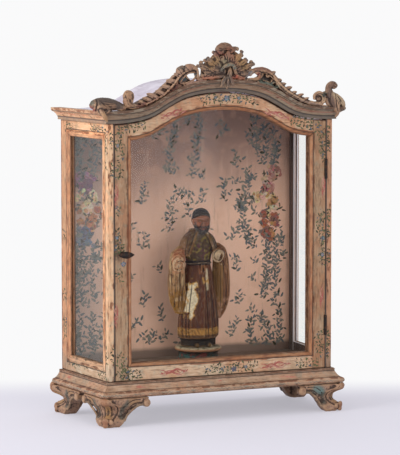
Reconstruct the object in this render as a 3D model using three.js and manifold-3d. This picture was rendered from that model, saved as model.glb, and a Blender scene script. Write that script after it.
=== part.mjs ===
// A shrine case: a glazed wooden cabinet with an arched door, a carved crest and a figurine.
// Millimetres, +Z up, the front faces -Y. Shapes are drawn with z = 0 at the foot of the side
// walls and y = 0 midway through the body. The last group moves them so that the feet stand on
// z = 0 and the whole is centred front to back.
import * as THREE from 'three';
import { mergeVertices } from 'three/addons/utils/BufferGeometryUtils.js';
import Module from 'manifold-3d';

const wasm = await Module();
wasm.setup();

// Overall sizes
const frontWidth = 450;
const bodyDepth = 195;
const splay = 15; // how much further out each side stands at the back
const corniceZ = 467.5; // underside of the cornice at the corners
const archRise = 54.3; // how far the arch climbs above the corners
const footHeight = 52.5;
const baseHeight = 28.2;
const baseReach = 20.6;
const gap = 0.3; // clearance between pieces that touch
const runningFit = 0.08; // clearance round a pin or spindle that turns

// Walls, door and boards
const wallThickness = 12;
const wallFlat = 13; // plain width of a side stile, beside its bead
const backFlat = 22;
const wallBead = 12.7;
const wallRail = 17;
const doorThickness = 18;
const doorFlat = 26;
const doorBead = 6.6;
const doorRail = 24.5;
const doorSideGap = 0.8;
const doorTopGap = 2.6;
const doorFootGap = 1.2;
const glassThickness = 2;
const glassGroove = 4; // how far the pane enters its groove
const floorThickness = 12;
const backThickness = 9;
const backRebate = 12; // depth of the recess in the back stiles
const roofThickness = 7;
const headerHeight = 12; // the arched board above the door
const baseInside = 24; // how far the base reaches in under the walls
const corniceHeight = 22.5;
const corniceReach = 20;
const drawnHalf = 225; // half of the front for which the arch and the crest are drawn

// Hinges and lock
const hingeHeight = 36;
const hingeCentres = [81.5, 375];
const barrelRadius = 2.8;
const pinRadius = 1.2;
const leafThickness = 1.2;
const leafWidth = 14;
const lockHeight = 30;
const lockZ = 232;
const lockX = 14.5; // from the door's edge to the spindle
const lockLength = 22;
const lockThickness = 8.4;
const spindleRadius = 2.5;
const boltTravel = 6;
const boltHeight = 8;
const boltThickness = 4;
const thumbWidth = 31;
const thumbHeight = 13;
const thumbReach = 19;

// Figurine
const figureY = 10;
const plinthRadius = 44;
const plinthHeight = 29;
const figureHeight = 259;
const headX = 3; // the head is set a little aside and forward of the body
const headForward = 7;

// Places that follow from the sizes
const halfFront = frontWidth / 2;
const spread = halfFront / drawnHalf;
const yFront = -bodyDepth / 2;
const yBack = bodyDepth / 2;
const splayAngle = Math.atan2(splay, bodyDepth);
const wallLength = bodyDepth / Math.cos(splayAngle);
const wallTop = corniceZ + headerHeight - gap;
const backY = yBack - backRebate; // the back board's front face
const baseZ = -baseHeight;
const soleZ = baseZ - gap - footHeight;
const innerHalf = halfFront - wallThickness / Math.cos(splayAngle);
const doorHalf = innerHalf - doorSideGap;
const doorOpenHalf = doorHalf - doorFlat - doorBead;
const doorOpenFoot = doorFootGap + doorRail + doorBead;
const doorOpenDrop = doorTopGap + doorRail + doorBead; // from the cornice to the glass
const doorBack = yFront + doorThickness;
const hingeX = innerHalf - doorSideGap / 2;
const hingeY = yFront - 1;
const lockY = yFront + doorThickness / 2;
const spindleX = -doorHalf + lockX;

// Materials
const paint = (color, roughness = 0.75) => new THREE.MeshStandardMaterial({ color, roughness, metalness: 0 });
const materials = {
  frame: paint('#c7a884'),
  moulding: paint('#b99a78'),
  carving: paint('#7b5a40', 0.7),
  board: paint('#b8937f'),
  roof: paint('#cfc8cf'),
  floor: paint('#6d625b'),
  iron: new THREE.MeshStandardMaterial({ color: '#2b2623', roughness: 0.55, metalness: 0.8 }),
  glass: new THREE.MeshStandardMaterial({ color: '#dfe6e3', roughness: 0.05, transparent: true, opacity: 0.3 }),
  robe: paint('#5b3a33', 0.6),
  mantle: paint('#a8774a', 0.6),
  skin: paint('#8a5a44', 0.55),
  plinth: paint('#4a4a3c', 0.6),
};

const shrine = new THREE.Group();
const door = new THREE.Group();
const figure = new THREE.Group();
shrine.add(door, figure);

function place(name, geometry, material, parent = shrine) {
  const mesh = new THREE.Mesh(geometry, material);
  mesh.name = name;
  parent.add(mesh);
  return mesh;
}

// Solids and booleans
function solid(geometry) {
  const bare = new THREE.BufferGeometry();
  bare.setAttribute('position', geometry.getAttribute('position'));
  bare.setIndex(geometry.getIndex());
  const merged = mergeVertices(bare, 1e-4);
  return new wasm.Manifold(new wasm.Mesh({
    numProp: 3,
    vertProperties: Float32Array.from(merged.getAttribute('position').array),
    triVerts: Uint32Array.from(merged.getIndex().array),
  }));
}

function geometryOf(manifold) {
  const mesh = manifold.getMesh();
  const geometry = new THREE.BufferGeometry();
  geometry.setAttribute('position', new THREE.BufferAttribute(Float32Array.from(mesh.vertProperties), 3));
  geometry.setIndex(new THREE.BufferAttribute(Uint32Array.from(mesh.triVerts), 1));
  return geometry;
}

const joined = (...parts) => geometryOf(parts.map(solid).reduce((sum, part) => sum.add(part)));
const cut = (body, ...tools) => geometryOf(tools.map(solid).reduce(
  (rest, tool) => rest.subtract(tool), solid(body),
));
const common = (a, b) => geometryOf(solid(a).intersect(solid(b)));

function mirrored(geometry) {
  const copy = geometry.clone().scale(-1, 1, 1);
  const index = copy.getIndex();
  for (let i = 0; i < index.count; i += 3) {
    const first = index.getX(i);
    index.setX(i, index.getX(i + 2));
    index.setX(i + 2, first);
  }
  return copy;
}

// A closed solid through rings of matching points.
function loft(rings) {
  const count = rings[0].length;
  const points = rings.flat();
  const faces = [];
  for (let ring = 0; ring + 1 < rings.length; ring += 1) {
    for (let i = 0; i < count; i += 1) {
      const next = (i + 1) % count;
      const a = ring * count + i;
      const b = ring * count + next;
      faces.push(a, b, b + count, a, b + count, a + count);
    }
  }
  const start = capFaces(rings[0]);
  const end = capFaces(rings[rings.length - 1]);
  const last = (rings.length - 1) * count;
  start.forEach(([a, b, c]) => faces.push(a, c, b));
  end.forEach(([a, b, c]) => faces.push(last + a, last + b, last + c));
  if (volume(points, faces) < 0) faces.reverse();
  const geometry = new THREE.BufferGeometry();
  const coordinates = points.flatMap((p) => [p.x, p.y, p.z]);
  geometry.setAttribute('position', new THREE.Float32BufferAttribute(coordinates, 3));
  geometry.setIndex(faces);
  return geometry;
}

// Triangles across a ring, all turning the same way as the ring.
function capFaces(ring) {
  const normal = new THREE.Vector3();
  ring.forEach((p, i) => normal.add(new THREE.Vector3().crossVectors(p, ring[(i + 1) % ring.length])));
  const u = new THREE.Vector3(1, 0, 0);
  if (Math.abs(normal.x) > Math.max(Math.abs(normal.y), Math.abs(normal.z))) u.set(0, 1, 0);
  normal.normalize();
  u.addScaledVector(normal, -u.dot(normal)).normalize();
  const v = new THREE.Vector3().crossVectors(normal, u);
  const flat = ring.map((p) => new THREE.Vector2(p.dot(u), p.dot(v)));
  return THREE.ShapeUtils.triangulateShape(flat.slice(), []).map(([a, b, c]) => {
    const turn = flat[b].clone().sub(flat[a]).cross(flat[c].clone().sub(flat[a]));
    return turn > 0 ? [a, b, c] : [a, c, b];
  });
}

function volume(points, faces) {
  let sum = 0;
  for (let i = 0; i < faces.length; i += 3) {
    const [a, b, c] = [points[faces[i]], points[faces[i + 1]], points[faces[i + 2]]];
    sum += a.dot(new THREE.Vector3().crossVectors(b, c));
  }
  return sum / 6;
}

const vec = (x, y, z) => new THREE.Vector3(x, y, z);

function box(x0, x1, y0, y1, z0, z1) {
  const geometry = new THREE.BoxGeometry(x1 - x0, y1 - y0, z1 - z0);
  return geometry.translate((x0 + x1) / 2, (y0 + y1) / 2, (z0 + z1) / 2);
}

// A cylinder from one point to another.
function rod(from, to, radius, sides = 16, endRadius = radius) {
  const way = new THREE.Vector3().subVectors(to, from);
  const geometry = new THREE.CylinderGeometry(endRadius, radius, way.length(), sides);
  const turn = new THREE.Quaternion().setFromUnitVectors(vec(0, 1, 0), way.clone().normalize());
  return geometry.applyQuaternion(turn).translate(...from.clone().add(to).multiplyScalar(0.5).toArray());
}

function ball(centre, rx, ry = rx, rz = rx, detail = 12) {
  const geometry = new THREE.SphereGeometry(1, detail, Math.round(detail * 0.7));
  return geometry.scale(rx, ry, rz).translate(...centre.toArray());
}

// A flat shape in X and Z, from its points, as thick as y0 to y1.
function plate(points, y0, y1) {
  return loft([y0, y1].map((y) => points.map(([x, z]) => vec(x, y, z))));
}

// A plan shape in X and Y, as tall as z0 to z1.
function prism(points, z0, z1) {
  return loft([z0, z1].map((z) => points.map(([x, y]) => vec(x, y, z))));
}

// A tapering round bar along a smooth curve: each stop is [x, y, z, radius].
function stem(stops, steps = 14, sides = 8, flatten = 1) {
  const curve = new THREE.CatmullRomCurve3(stops.map(([x, y, z]) => vec(x, y, z)), false, 'centripetal');
  const rings = [];
  for (let i = 0; i <= steps; i += 1) {
    const t = i / steps;
    const at = curve.getPoint(t);
    const along = curve.getTangent(t);
    const side = vec(0, 1, 0).addScaledVector(along, -along.y).normalize();
    const up = new THREE.Vector3().crossVectors(along, side);
    const place1 = t * (stops.length - 1);
    const low = Math.min(Math.floor(place1), stops.length - 2);
    const radius = THREE.MathUtils.lerp(stops[low][3], stops[low + 1][3], place1 - low);
    rings.push(Array.from({ length: sides }, (_, k) => {
      const angle = (2 * Math.PI * k) / sides;
      const across = Math.cos(angle) * radius;
      const out = Math.sin(angle) * radius * flatten;
      return at.clone().addScaledVector(up, across).addScaledVector(side, out);
    }));
  }
  return loft(rings);
}

// Plan of the body: the left wall leans out towards the back, the right one mirrors it.
// wall() takes the distance along the wall from the front corner and the distance out of it.
const wall = (along, out, z = 0) => vec(
  -halfFront - along * Math.sin(splayAngle) - out * Math.cos(splayAngle),
  yFront + along * Math.cos(splayAngle) - out * Math.sin(splayAngle),
  z,
);
const wallX = (y, out) => -(halfFront + (y - yFront) * Math.tan(splayAngle) + out / Math.cos(splayAngle));
const frontCorner = (out, z) => vec(wallX(yFront - out, out), yFront - out, z);
const backCorner = (out, z) => vec(wallX(yBack, out), yBack, z);

// The arch: half of it is a list of [x, share of the rise], drawn smooth through them.
const archStops = [[0, 1], [40, 0.952], [76.4, 0.81], [106, 0.553], [136.4, 0.245], [160, 0.105],
  [185, 0.035], [212, 0.006]];
const archHalf = archStops.map(([x, share]) => [x * spread, share]);
archHalf.push([halfFront + splay + corniceReach, 0]);
const archCurve = new THREE.SplineCurve([
  ...archHalf.slice(1).reverse().map(([x, share]) => new THREE.Vector2(-x, share)),
  ...archHalf.map(([x, share]) => new THREE.Vector2(x, share)),
]);
const archTable = archCurve.getSpacedPoints(400);
function archZ(x) {
  const reach = -archTable[0].x;
  if (Math.abs(x) >= reach) return corniceZ;
  let i = 1;
  while (archTable[i].x < x) i += 1;
  const [a, b] = [archTable[i - 1], archTable[i]];
  const share = a.y + ((b.y - a.y) * (x - a.x)) / (b.x - a.x);
  return corniceZ + archRise * Math.max(0, share);
}
const archSlope = (x) => (archZ(x + 1) - archZ(x - 1)) / 2;

// Stations across the arch, closer together where it bends.
function stations(half, count = 36) {
  return Array.from({ length: count + 1 }, (_, i) => -half + (2 * half * i) / count);
}

// A board between two curves that follow the arch, from y0 to y1.
function archBoard(half, y0, y1, lower, upper, count) {
  return loft(stations(half, count).map((x) => [
    vec(x, y0, lower(x)), vec(x, y1, lower(x)), vec(x, y1, upper(x)), vec(x, y0, upper(x)),
  ]));
}

// Base: a fillet, a hollow and a round, as shares of [its reach, its height down from the walls].
const baseFillet = [[0.2913, 0.0567], [0.267, 0.156], [0.3495, 0.2908], [0.5049, 0.4468], [0.699, 0.5603]];
const baseRound = Array.from({ length: 7 }, (_, i) => {
  const angle = THREE.MathUtils.degToRad(85 - (170 * i) / 6);
  return [0.7573 + 0.2427 * Math.cos(angle), 0.7589 - 0.1773 * Math.sin(angle)];
});
const baseCurve = [...baseFillet, ...baseRound, [0.6408, 0.9574], [0.6214, 1]];
const baseProfile = [
  [-baseInside, -gap], [baseReach * 0.2621, -gap],
  ...baseCurve.map(([out, down]) => [baseReach * out, -baseHeight * down]),
  [-baseInside, baseZ],
];

function mouldings(profile, name, material) {
  const side = [
    profile.map(([out, z]) => frontCorner(out, z).add(wall(gap, 0).sub(wall(0, 0)))),
    profile.map(([out, z]) => backCorner(out, z)),
  ];
  const left = loft(side);
  place(`${name}_left`, left, material);
  place(`${name}_right`, mirrored(left), material);
}

function buildBase() {
  const ends = [-1, 1].map((way) => baseProfile.map(([out, z]) => {
    const corner = frontCorner(out, z);
    return vec(-way * (corner.x + gap), corner.y, z);
  }));
  place('base_moulding_front', loft(ends), materials.moulding);
  mouldings(baseProfile, 'base_moulding', materials.moulding);
  const railFront = yBack - baseInside;
  const [x0, x1] = [wallX(railFront, -baseInside) + 2 * gap, wallX(yBack, -baseInside) + 2 * gap];
  const rail = prism([[x0, railFront], [-x0, railFront], [-x1, yBack], [x1, yBack]], baseZ, -gap);
  place('base_rail_back', rail, materials.board);
  const [front, back] = [doorBack + 2 * gap, backY - gap];
  const edge = (y) => wallX(y, -wallThickness) + gap;
  const plan = [[edge(front), front], [-edge(front), front], [-edge(back), back], [edge(back), back]];
  place('floor_board', prism(plan, 0, floorThickness), materials.floor);
}

// Bracket feet: each level is [share of the height down, out of the walls, arm length, corner's round].
const footLevels = [
  [0, 22, 72, 15], [0.0762, 24.5, 70, 17], [0.1524, 23, 66, 20], [0.2286, 17, 58, 22], [0.3238, 12, 48, 23],
  [0.419, 9, 41, 22], [0.5333, 7.5, 34, 20], [0.6286, 8, 30, 18], [0.7048, 12, 27, 17], [0.8, 17, 24, 17],
  [0.8952, 16.5, 20, 16], [1, 12, 15, 14],
];
const footThickness = 15; // how far an arm reaches in under the walls
const knobRadius = 7.8;
const toeRadius = 7.5;
const backFootIn = 18; // how far a back foot's corner stands in from the back
const backFootArm = 1.2; // its side arm is this much longer than a front foot's

// at(a, b, z) is the point a along the first arm's face and b along the second one's.
function foot(at, stretch) {
  const levels = footLevels.map(([down, out, length, turn]) => {
    const z = baseZ - gap - down * footHeight;
    const centre = turn - out;
    const inside = Math.min(footThickness, length - 2);
    const corner = [0, 1, 2, 3, 4].map((k) => {
      const angle = (k * Math.PI) / 8;
      return at(centre - turn * Math.sin(angle), centre - turn * Math.cos(angle), z);
    });
    const far = centre + (length - centre) * stretch;
    return [
      ...corner, at(-out, far, z), at(inside, far, z), at(inside, inside, z), at(length, inside, z),
      at(length, -out, z),
    ];
  });
  const knobZ = baseZ - gap - 0.1943 * footHeight;
  const knobs = [
    rod(at(66, -4, knobZ), at(66, -17, knobZ), knobRadius, 12),
    rod(at(-4, 66 * stretch, knobZ), at(-17, 66 * stretch, knobZ), knobRadius, 12),
  ];
  const toeZ = soleZ + 0.2667 * footHeight;
  const toes = [ball(at(-13, -13, toeZ), toeRadius, toeRadius, toeRadius, 10)];
  return joined(loft(levels), ...knobs, ...toes);
}

function buildFeet() {
  const along = (b, z) => wall(b, 0, z);
  const front = foot((a, b, z) => along(b, z).add(vec(a, 0, 0)), 1);
  const back = foot((a, b, z) => along(wallLength - backFootIn - b, z).add(vec(a, 0, 0)), backFootArm);
  place('foot_front_left', front, materials.carving);
  place('foot_front_right', mirrored(front), materials.carving);
  place('foot_back_left', back, materials.carving);
  place('foot_back_right', mirrored(back), materials.carving);
}

// A bead that edges an opening, as [distance from the opening, height above the face].
function beadSection(width, thickness) {
  const groove = (thickness - glassThickness) / 2 - gap;
  return [
    [width + 0.4, -0.9], [width, -0.9], [width * 0.92, 0.5], [width * 0.66, 1.5], [width * 0.36, 1.1],
    [width * 0.12, -0.7], [0, -2.4], [0, -groove], [glassGroove, -groove],
    [glassGroove, groove - thickness], [0, groove - thickness], [0, -thickness], [width + 0.4, -thickness],
  ];
}

// One member of a glazed frame: a plain bar joined to its mitred bead. at() maps
// (distance from the opening, place along the member, height above the face) to a point.
function member(at, flatWidth, beadWidth, thickness, flatFrom, flatTo, openFrom, openTo) {
  const flat = [
    [beadWidth, 0], [beadWidth + flatWidth, 0], [beadWidth + flatWidth, -thickness],
    [beadWidth, -thickness],
  ];
  const bar = loft([flatFrom, flatTo].map((s) => flat.map(([away, up]) => at(away, s, up))));
  const section = beadSection(beadWidth, thickness);
  const bead = loft([[openFrom, -1], [openTo, 1]].map(([s, way]) => section.map(([away, up]) => {
    const mitre = Math.min(away, beadWidth);
    return at(away, s + way * (mitre - gap), up);
  })));
  return joined(bar, bead);
}

// Pane of a side window: it enters the grooves on all four sides.
function buildSides() {
  const openFront = wallFlat + wallBead;
  const openBack = wallLength - backFlat - wallBead;
  const openFoot = wallRail + wallBead;
  const openTop = corniceZ - wallRail - wallBead;
  const topFlat = wallTop - openTop - wallBead;
  const frontStile = member(
    (away, s, up) => wall(openFront - away, up, s),
    wallFlat + 2, wallBead, wallThickness, 0, wallTop, openFoot, openTop,
  );
  const frontTrim = box(-halfFront - 40, halfFront, yFront - 40, yFront, -5, wallTop + 5);
  const backStile = member(
    (away, s, up) => wall(openBack + away, up, s),
    backFlat + 2, wallBead, wallThickness, 0, wallTop, openFoot, openTop,
  );
  const backTrim = box(-halfFront - 60, halfFront, yBack, yBack + 40, -5, wallTop + 5);
  const rebate = loft([-5, wallTop + 5].map((z) => [
    wall(wallLength + 20, -wallThickness / 2, z), wall(wallLength + 20, -wallThickness - 10, z),
    vec(wallX(backY - gap, -wallThickness - 10), backY - gap, z), vec(
      wallX(backY - gap, -wallThickness / 2), backY - gap, z,
    ),
  ]));
  const railFrom = wallFlat + gap;
  const railTo = wallLength - backFlat - gap;
  const topRail = member(
    (away, s, up) => wall(s, up, openTop + away),
    topFlat, wallBead, wallThickness, railFrom, railTo, openFront, openBack,
  );
  const footRail = member(
    (away, s, up) => wall(s, up, openFoot - away),
    wallRail, wallBead, wallThickness, railFrom, railTo, openFront, openBack,
  );
  const reach = glassGroove - gap;
  const face = -(wallThickness - glassThickness) / 2;
  const pane = loft([openFoot - reach, openTop + reach].map((z) => [
    wall(openFront - reach, face, z), wall(openBack + reach, face, z),
    wall(openBack + reach, face - glassThickness, z), wall(openFront - reach, face - glassThickness, z),
  ]));
  const pieces = {
    front_stile: [cut(frontStile, frontTrim), materials.frame],
    back_stile: [cut(backStile, backTrim, rebate), materials.frame],
    top_rail: [topRail, materials.frame],
    bottom_rail: [footRail, materials.frame],
    glass: [pane, materials.glass],
  };
  pieces.front_stile[0] = cut(pieces.front_stile[0], boltMortise());
  for (const [name, [geometry, material]] of Object.entries(pieces)) place(
    `side_left_${name}`, geometry, material,
  );
  pieces.front_stile[0] = cut(mirrored(cut(frontStile, frontTrim)), ...hingePockets(1));
  for (const [name, [geometry, material]] of Object.entries(pieces)) {
    place(`side_right_${name}`, name === 'front_stile' ? geometry : mirrored(geometry), material);
  }
}

// Back, header and roof
function buildBoards() {
  const under = (x) => archZ(x) + headerHeight;
  const boardX = (y) => wallX(y, -wallThickness / 2) + gap;
  const back = backY + backThickness;
  const sheet = archBoard(halfFront + splay, backY, back, () => 0, (x) => under(x) - gap, 40);
  const trim = prism(
    [
      [boardX(backY), backY - 5], [-boardX(backY), backY - 5], [-boardX(back), back + 5],
      [boardX(back), back + 5],
    ],
    -5, 600,
  );
  place('back_board', common(sheet, trim), materials.board);
  const header = archBoard(innerHalf - gap, yFront, doorBack, archZ, (x) => under(x) - gap, 36);
  place('door_header', header, materials.frame);
  const roofSheet = archBoard(
    halfFront + splay, yFront + gap, yBack, under, (x) => under(x) + roofThickness, 40,
  );
  const edge = (y) => wallX(y, 0) + gap;
  const plan = prism(
    [
      [edge(yFront), yFront - 5], [-edge(yFront), yFront - 5], [-edge(yBack), yBack + 5],
      [edge(yBack), yBack + 5],
    ],
    0, 700,
  );
  place('roof_board', common(roofSheet, plan), materials.roof);
}

// Cornice: a fillet, a hollow and a top fillet, as shares of [its reach, its height].
const corniceShape = [
  [0.3, 0], [0.32, 0.0533], [0.3, 0.1511], [0.36, 0.2933], [0.51, 0.48], [0.73, 0.64], [0.92, 0.72],
  [0.94, 0.7733], [1, 0.8089], [1, 1],
];
const corniceProfile = [
  [gap, 0], ...corniceShape.map(([out, up]) => [corniceReach * out, corniceHeight * up]), [gap, corniceHeight],
];

// A point that far out of the front and that far square up from the arch.
function onArch(x, out, up) {
  const slope = archSlope(x);
  const length = Math.hypot(1, slope);
  return vec(x - (up * slope) / length, yFront - out, archZ(x) + up / length);
}

const corniceStations = stations(halfFront - 12, 38);

function buildCornice() {
  const inner = corniceStations.map((x) => corniceProfile.map(([out, up]) => onArch(x, out, up)));
  const end = (way) => corniceProfile.map(([out, up]) => {
    const corner = frontCorner(out, corniceZ + up);
    return vec(way * (-corner.x - gap), corner.y, corner.z);
  });
  place('cornice_front', loft([end(-1), ...inner, end(1)]), materials.moulding);
  mouldings(corniceProfile.map(([out, up]) => [out, corniceZ + up]), 'cornice', materials.moulding);
}

// Door
function doorAt(side) {
  return (away, s, up) => vec(side * (doorOpenHalf + away), yFront - up, s);
}

function buildDoor() {
  const archTop = (x) => archZ(x) - doorTopGap;
  const glassTop = (x) => archZ(x) - doorOpenDrop;
  const openTop = glassTop(doorOpenHalf);
  const trim = archBoard(halfFront, yFront - 20, doorBack + 20, archTop, () => 700, 48);
  const stile = cut(
    member(doorAt(-1), doorFlat, doorBead, doorThickness, doorFootGap, 560, doorOpenFoot, openTop - 2 * gap), trim,
  );
  place('door_left_stile', cut(stile, ...lockPocket()), materials.frame, door);
  place('door_right_stile', cut(mirrored(stile), ...hingePockets(-1)), materials.frame, door);
  const flatHalf = doorHalf - doorFlat - gap;
  const foot = member(
    (away, s, up) => vec(s, yFront - up, doorOpenFoot - away), doorRail, doorBead, doorThickness,
    -flatHalf, flatHalf, -doorOpenHalf, doorOpenHalf,
  );
  place('door_bottom_rail', foot, materials.frame, door);
  place('door_top_rail', topRail(flatHalf, archTop, glassTop), materials.frame, door);
  place('door_glass', doorPane(glassTop), materials.glass, door);
}

// The arched rail: a plain board joined to a bead that follows the same curve.
function topRail(flatHalf, archTop, glassTop) {
  const flat = stations(flatHalf, 32).map((x) => [
    vec(x, yFront, glassTop(x) + doorBead), vec(x, doorBack, glassTop(x) + doorBead),
    vec(x, doorBack, archTop(x)), vec(x, yFront, archTop(x)),
  ]);
  const section = beadSection(doorBead, doorThickness);
  const bead = stations(doorOpenHalf, 32).map((x, i, all) => section.map(([away, up]) => {
    const mitre = Math.min(away, doorBead) - 2.5 * gap;
    const end = i === 0 ? -mitre : i === all.length - 1 ? mitre : 0;
    return vec(x + end, yFront - up, glassTop(x) + away);
  }));
  return joined(loft(flat), loft(bead));
}

function doorPane(glassTop) {
  const reach = glassGroove - gap;
  const face = yFront + (doorThickness - glassThickness) / 2;
  const half = doorOpenHalf + reach;
  return archBoard(
    half, face, face + glassThickness, () => doorOpenFoot - reach, (x) => glassTop(x) + reach, 32,
  );
}

// Hinges: knuckles round a pin at the door's front edge, leaves let into the two edges.
function hingePockets(side) {
  return hingeCentres.flatMap((z) => {
    const [low, high] = [z - hingeHeight / 2 - gap, z + hingeHeight / 2 + gap];
    const well = rod(vec(hingeX, hingeY, low - 1), vec(hingeX, hingeY, high + 1), barrelRadius + 0.6, 20);
    const edge = side > 0 ? innerHalf : doorHalf;
    const depth = leafThickness + gap + (side > 0 ? leafWidth * Math.tan(splayAngle) : 0);
    const recess = side > 0
      ? box(edge - 5, edge + depth, yFront - 5, yFront + leafWidth + gap, low, high)
      : box(edge - depth, edge + 5, yFront - 5, yFront + leafWidth + gap, low, high);
    return [well, recess];
  });
}

function buildHinges() {
  const knuckle = hingeHeight / 3;
  const barrel = (from, to) => rod(vec(hingeX, hingeY, from), vec(hingeX, hingeY, to), barrelRadius, 16);
  const bore = (low, high) => rod(
    vec(hingeX, hingeY, low - 1), vec(hingeX, hingeY, high + 1), pinRadius + runningFit, 24,
  );
  hingeCentres.forEach((z, i) => {
    const name = ['lower', 'upper'][i];
    const [low, high] = [z - hingeHeight / 2, z + hingeHeight / 2];
    const caseLeaf = box(
      innerHalf + 0.05, innerHalf + leafThickness, hingeY, yFront + leafWidth, low, high,
    );
    const doorLeaf = box(doorHalf - leafThickness, doorHalf - 0.05, hingeY, yFront + leafWidth, low, high);
    const middle = box(
      hingeX - 5, hingeX + 5, hingeY - 5, hingeY + barrelRadius + gap, low + knuckle, high - knuckle,
    );
    const ends = [[low - 1, low + knuckle + gap], [high - knuckle - gap, high + 1]];
    const endClearance = ends.map(([a, b]) => box(
      hingeX - 5, hingeX + 5, hingeY - 5, hingeY + barrelRadius + gap, a, b,
    ));
    const fixed = cut(
      joined(cut(caseLeaf, middle), barrel(low, low + knuckle), barrel(high - knuckle, high)), bore(low, high),
    );
    const moving = cut(
      joined(cut(doorLeaf, ...endClearance), barrel(low + knuckle + gap, high - knuckle - gap)), bore(low, high),
    );
    place(`hinge_${name}_case_leaf`, fixed, materials.iron);
    place(
      `hinge_${name}_pin`,
      rod(vec(hingeX, hingeY, low - 0.8), vec(hingeX, hingeY, high + 0.8), pinRadius, 16), materials.iron,
    );
    place(`hinge_${name}_door_leaf`, moving, materials.iron, door);
  });
}

// Lock: a finger on the thumb turn's spindle sits in a notch of the bolt and slides it.
const fingerRadius = boltTravel / Math.SQRT2; // so that a quarter turn moves the bolt its travel
const fingerTip = 1.1;
const boltZ = lockZ + spindleRadius + 0.4 + boltHeight / 2;
const boltLength = 18;

function lockPocket() {
  const back = -doorHalf + lockLength + gap;
  const half = lockThickness / 2 + gap;
  const pocket = box(
    -doorHalf - 5, back, lockY - half, lockY + half, lockZ - lockHeight / 2 - gap,
    lockZ + lockHeight / 2 + gap,
  );
  const hole = rod(vec(spindleX, yFront - 5, lockZ), vec(spindleX, lockY, lockZ), spindleRadius + 0.4, 16);
  return [pocket, hole];
}

function boltMortise() {
  const side = boltThickness / 2 + 0.5;
  const deep = -doorHalf - boltTravel - 0.8;
  const half = boltHeight / 2 + 0.6;
  return box(deep, -innerHalf + 10, lockY - side, lockY + side, boltZ - half, boltZ + half);
}

function buildLock() {
  const left = -doorHalf + gap;
  const half = lockThickness / 2;
  const shell = box(
    left, left + lockLength - gap, lockY - half, lockY + half, lockZ - lockHeight / 2,
    lockZ + lockHeight / 2,
  );
  const chamber = rod(vec(spindleX, lockY - 2.6, lockZ), vec(spindleX, lockY + 2.6, lockZ), 6.2, 20);
  const channelHalf = boltHeight / 2 + 0.3;
  const channel = box(
    left - 5, left + boltLength + 1.4, lockY - 2.3, lockY + 2.3, boltZ - channelHalf, boltZ + channelHalf,
  );
  const hole = rod(
    vec(spindleX, lockY - 10, lockZ), vec(spindleX, lockY, lockZ), spindleRadius + runningFit, 24,
  );
  place('lock_case', cut(shell, chamber, channel, hole), materials.iron, door);
  const boltLeft = left + 0.2;
  const bar = box(
    boltLeft, boltLeft + boltLength, lockY - boltThickness / 2, lockY + boltThickness / 2,
    boltZ - boltHeight / 2, boltZ + boltHeight / 2,
  );
  const notchX = spindleX + boltTravel / 2;
  const notchTop = lockZ + fingerRadius + fingerTip + 0.7;
  const notchHalf = fingerTip + 1.3;
  const notch = box(notchX - notchHalf, notchX + notchHalf, lockY - 5, lockY + 5, lockZ - 5, notchTop);
  place('lock_bolt', cut(bar, notch), materials.iron, door);
  place('thumb_turn', thumbTurn(), materials.iron, door);
}

// The oval thumb piece is thickest in the middle and pointed at its ends.
function thumbTurn() {
  const front = yFront - thumbReach;
  const rings = 8;
  const oval = loft(Array.from({ length: rings + 1 }, (_, i) => {
    const share = -1 + (2 * i) / rings;
    const tall = Math.max(0.06, Math.cos((share * Math.PI) / 2) ** 0.8);
    return Array.from({ length: 12 }, (_, k) => {
      const angle = (2 * Math.PI * k) / 12;
      return vec(
        spindleX + (share * thumbWidth) / 2,
        front + 3.2 * tall * Math.sin(angle),
        lockZ + (thumbHeight / 2) * tall * Math.cos(angle),
      );
    });
  }));
  const neck = rod(vec(spindleX, front, lockZ), vec(spindleX, yFront - 1.2, lockZ), 2.4, 12, 3.4);
  const collar = rod(vec(spindleX, yFront - 2.4, lockZ), vec(spindleX, yFront - gap, lockZ), 4.6, 16);
  const spindle = rod(
    vec(spindleX, yFront - 2, lockZ), vec(spindleX, lockY + 1.8, lockZ), spindleRadius, 16,
  );
  const reach = fingerRadius / Math.SQRT2;
  const finger = rod(
    vec(spindleX, lockY, lockZ), vec(spindleX + reach, lockY, lockZ + reach), fingerTip, 10,
  );
  const tip = ball(vec(spindleX + reach, lockY, lockZ + reach), fingerTip, fingerTip * 1.4, fingerTip, 8);
  return joined(oval, neck, collar, spindle, finger, tip);
}

// Crest: everything stands on the cornice, between these two depths.
const crestBack = yFront - 3;
const crestFront = yFront - corniceReach + 3;
const crestMid = (crestBack + crestFront) / 2;
const corniceEnd = (side) => vec(
  -side * frontCorner(corniceReach, 0).x, yFront, corniceZ + corniceHeight + gap,
);
const corniceTop = [
  corniceEnd(-1), ...corniceStations.map((x) => onArch(x, 0, corniceHeight + gap)), corniceEnd(1),
];

// The cornice's upper surface, a gap above it.
function crestFoot(x) {
  const i = corniceTop.findIndex((p) => p.x > x);
  if (i < 1) return corniceZ + corniceHeight + gap;
  const [a, b] = [corniceTop[i - 1], corniceTop[i]];
  return a.z + ((b.z - a.z) * (x - a.x)) / (b.x - a.x);
}

const cornerStart = halfFront - 21; // where the corner scrolls take over from the bands
const slice = (x0, x1) => box(x0, x1, yFront - 60, yFront + 60, corniceZ, corniceZ + archRise + 150);

// Where a point of the crest stands: x as drawn, its height above the cornice's top there.
const crestX = (x) => x * spread;
const crestZ = (x, rise) => crestFoot(crestX(x)) + rise;
const crestStem = (stops, ...rest) => stem(
  stops.map(([x, y, rise, radius]) => [crestX(x), y, crestZ(x, rise), radius]), ...rest
);
const crestLeaf = (stops, ...rest) => leaf(
  stops.map(([x, rise, half]) => [crestX(x), crestZ(x, rise), half]), ...rest
);
const crestBall = (x, y, rise, ...rest) => ball(vec(crestX(x), y, crestZ(x, rise)), ...rest);

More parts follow.
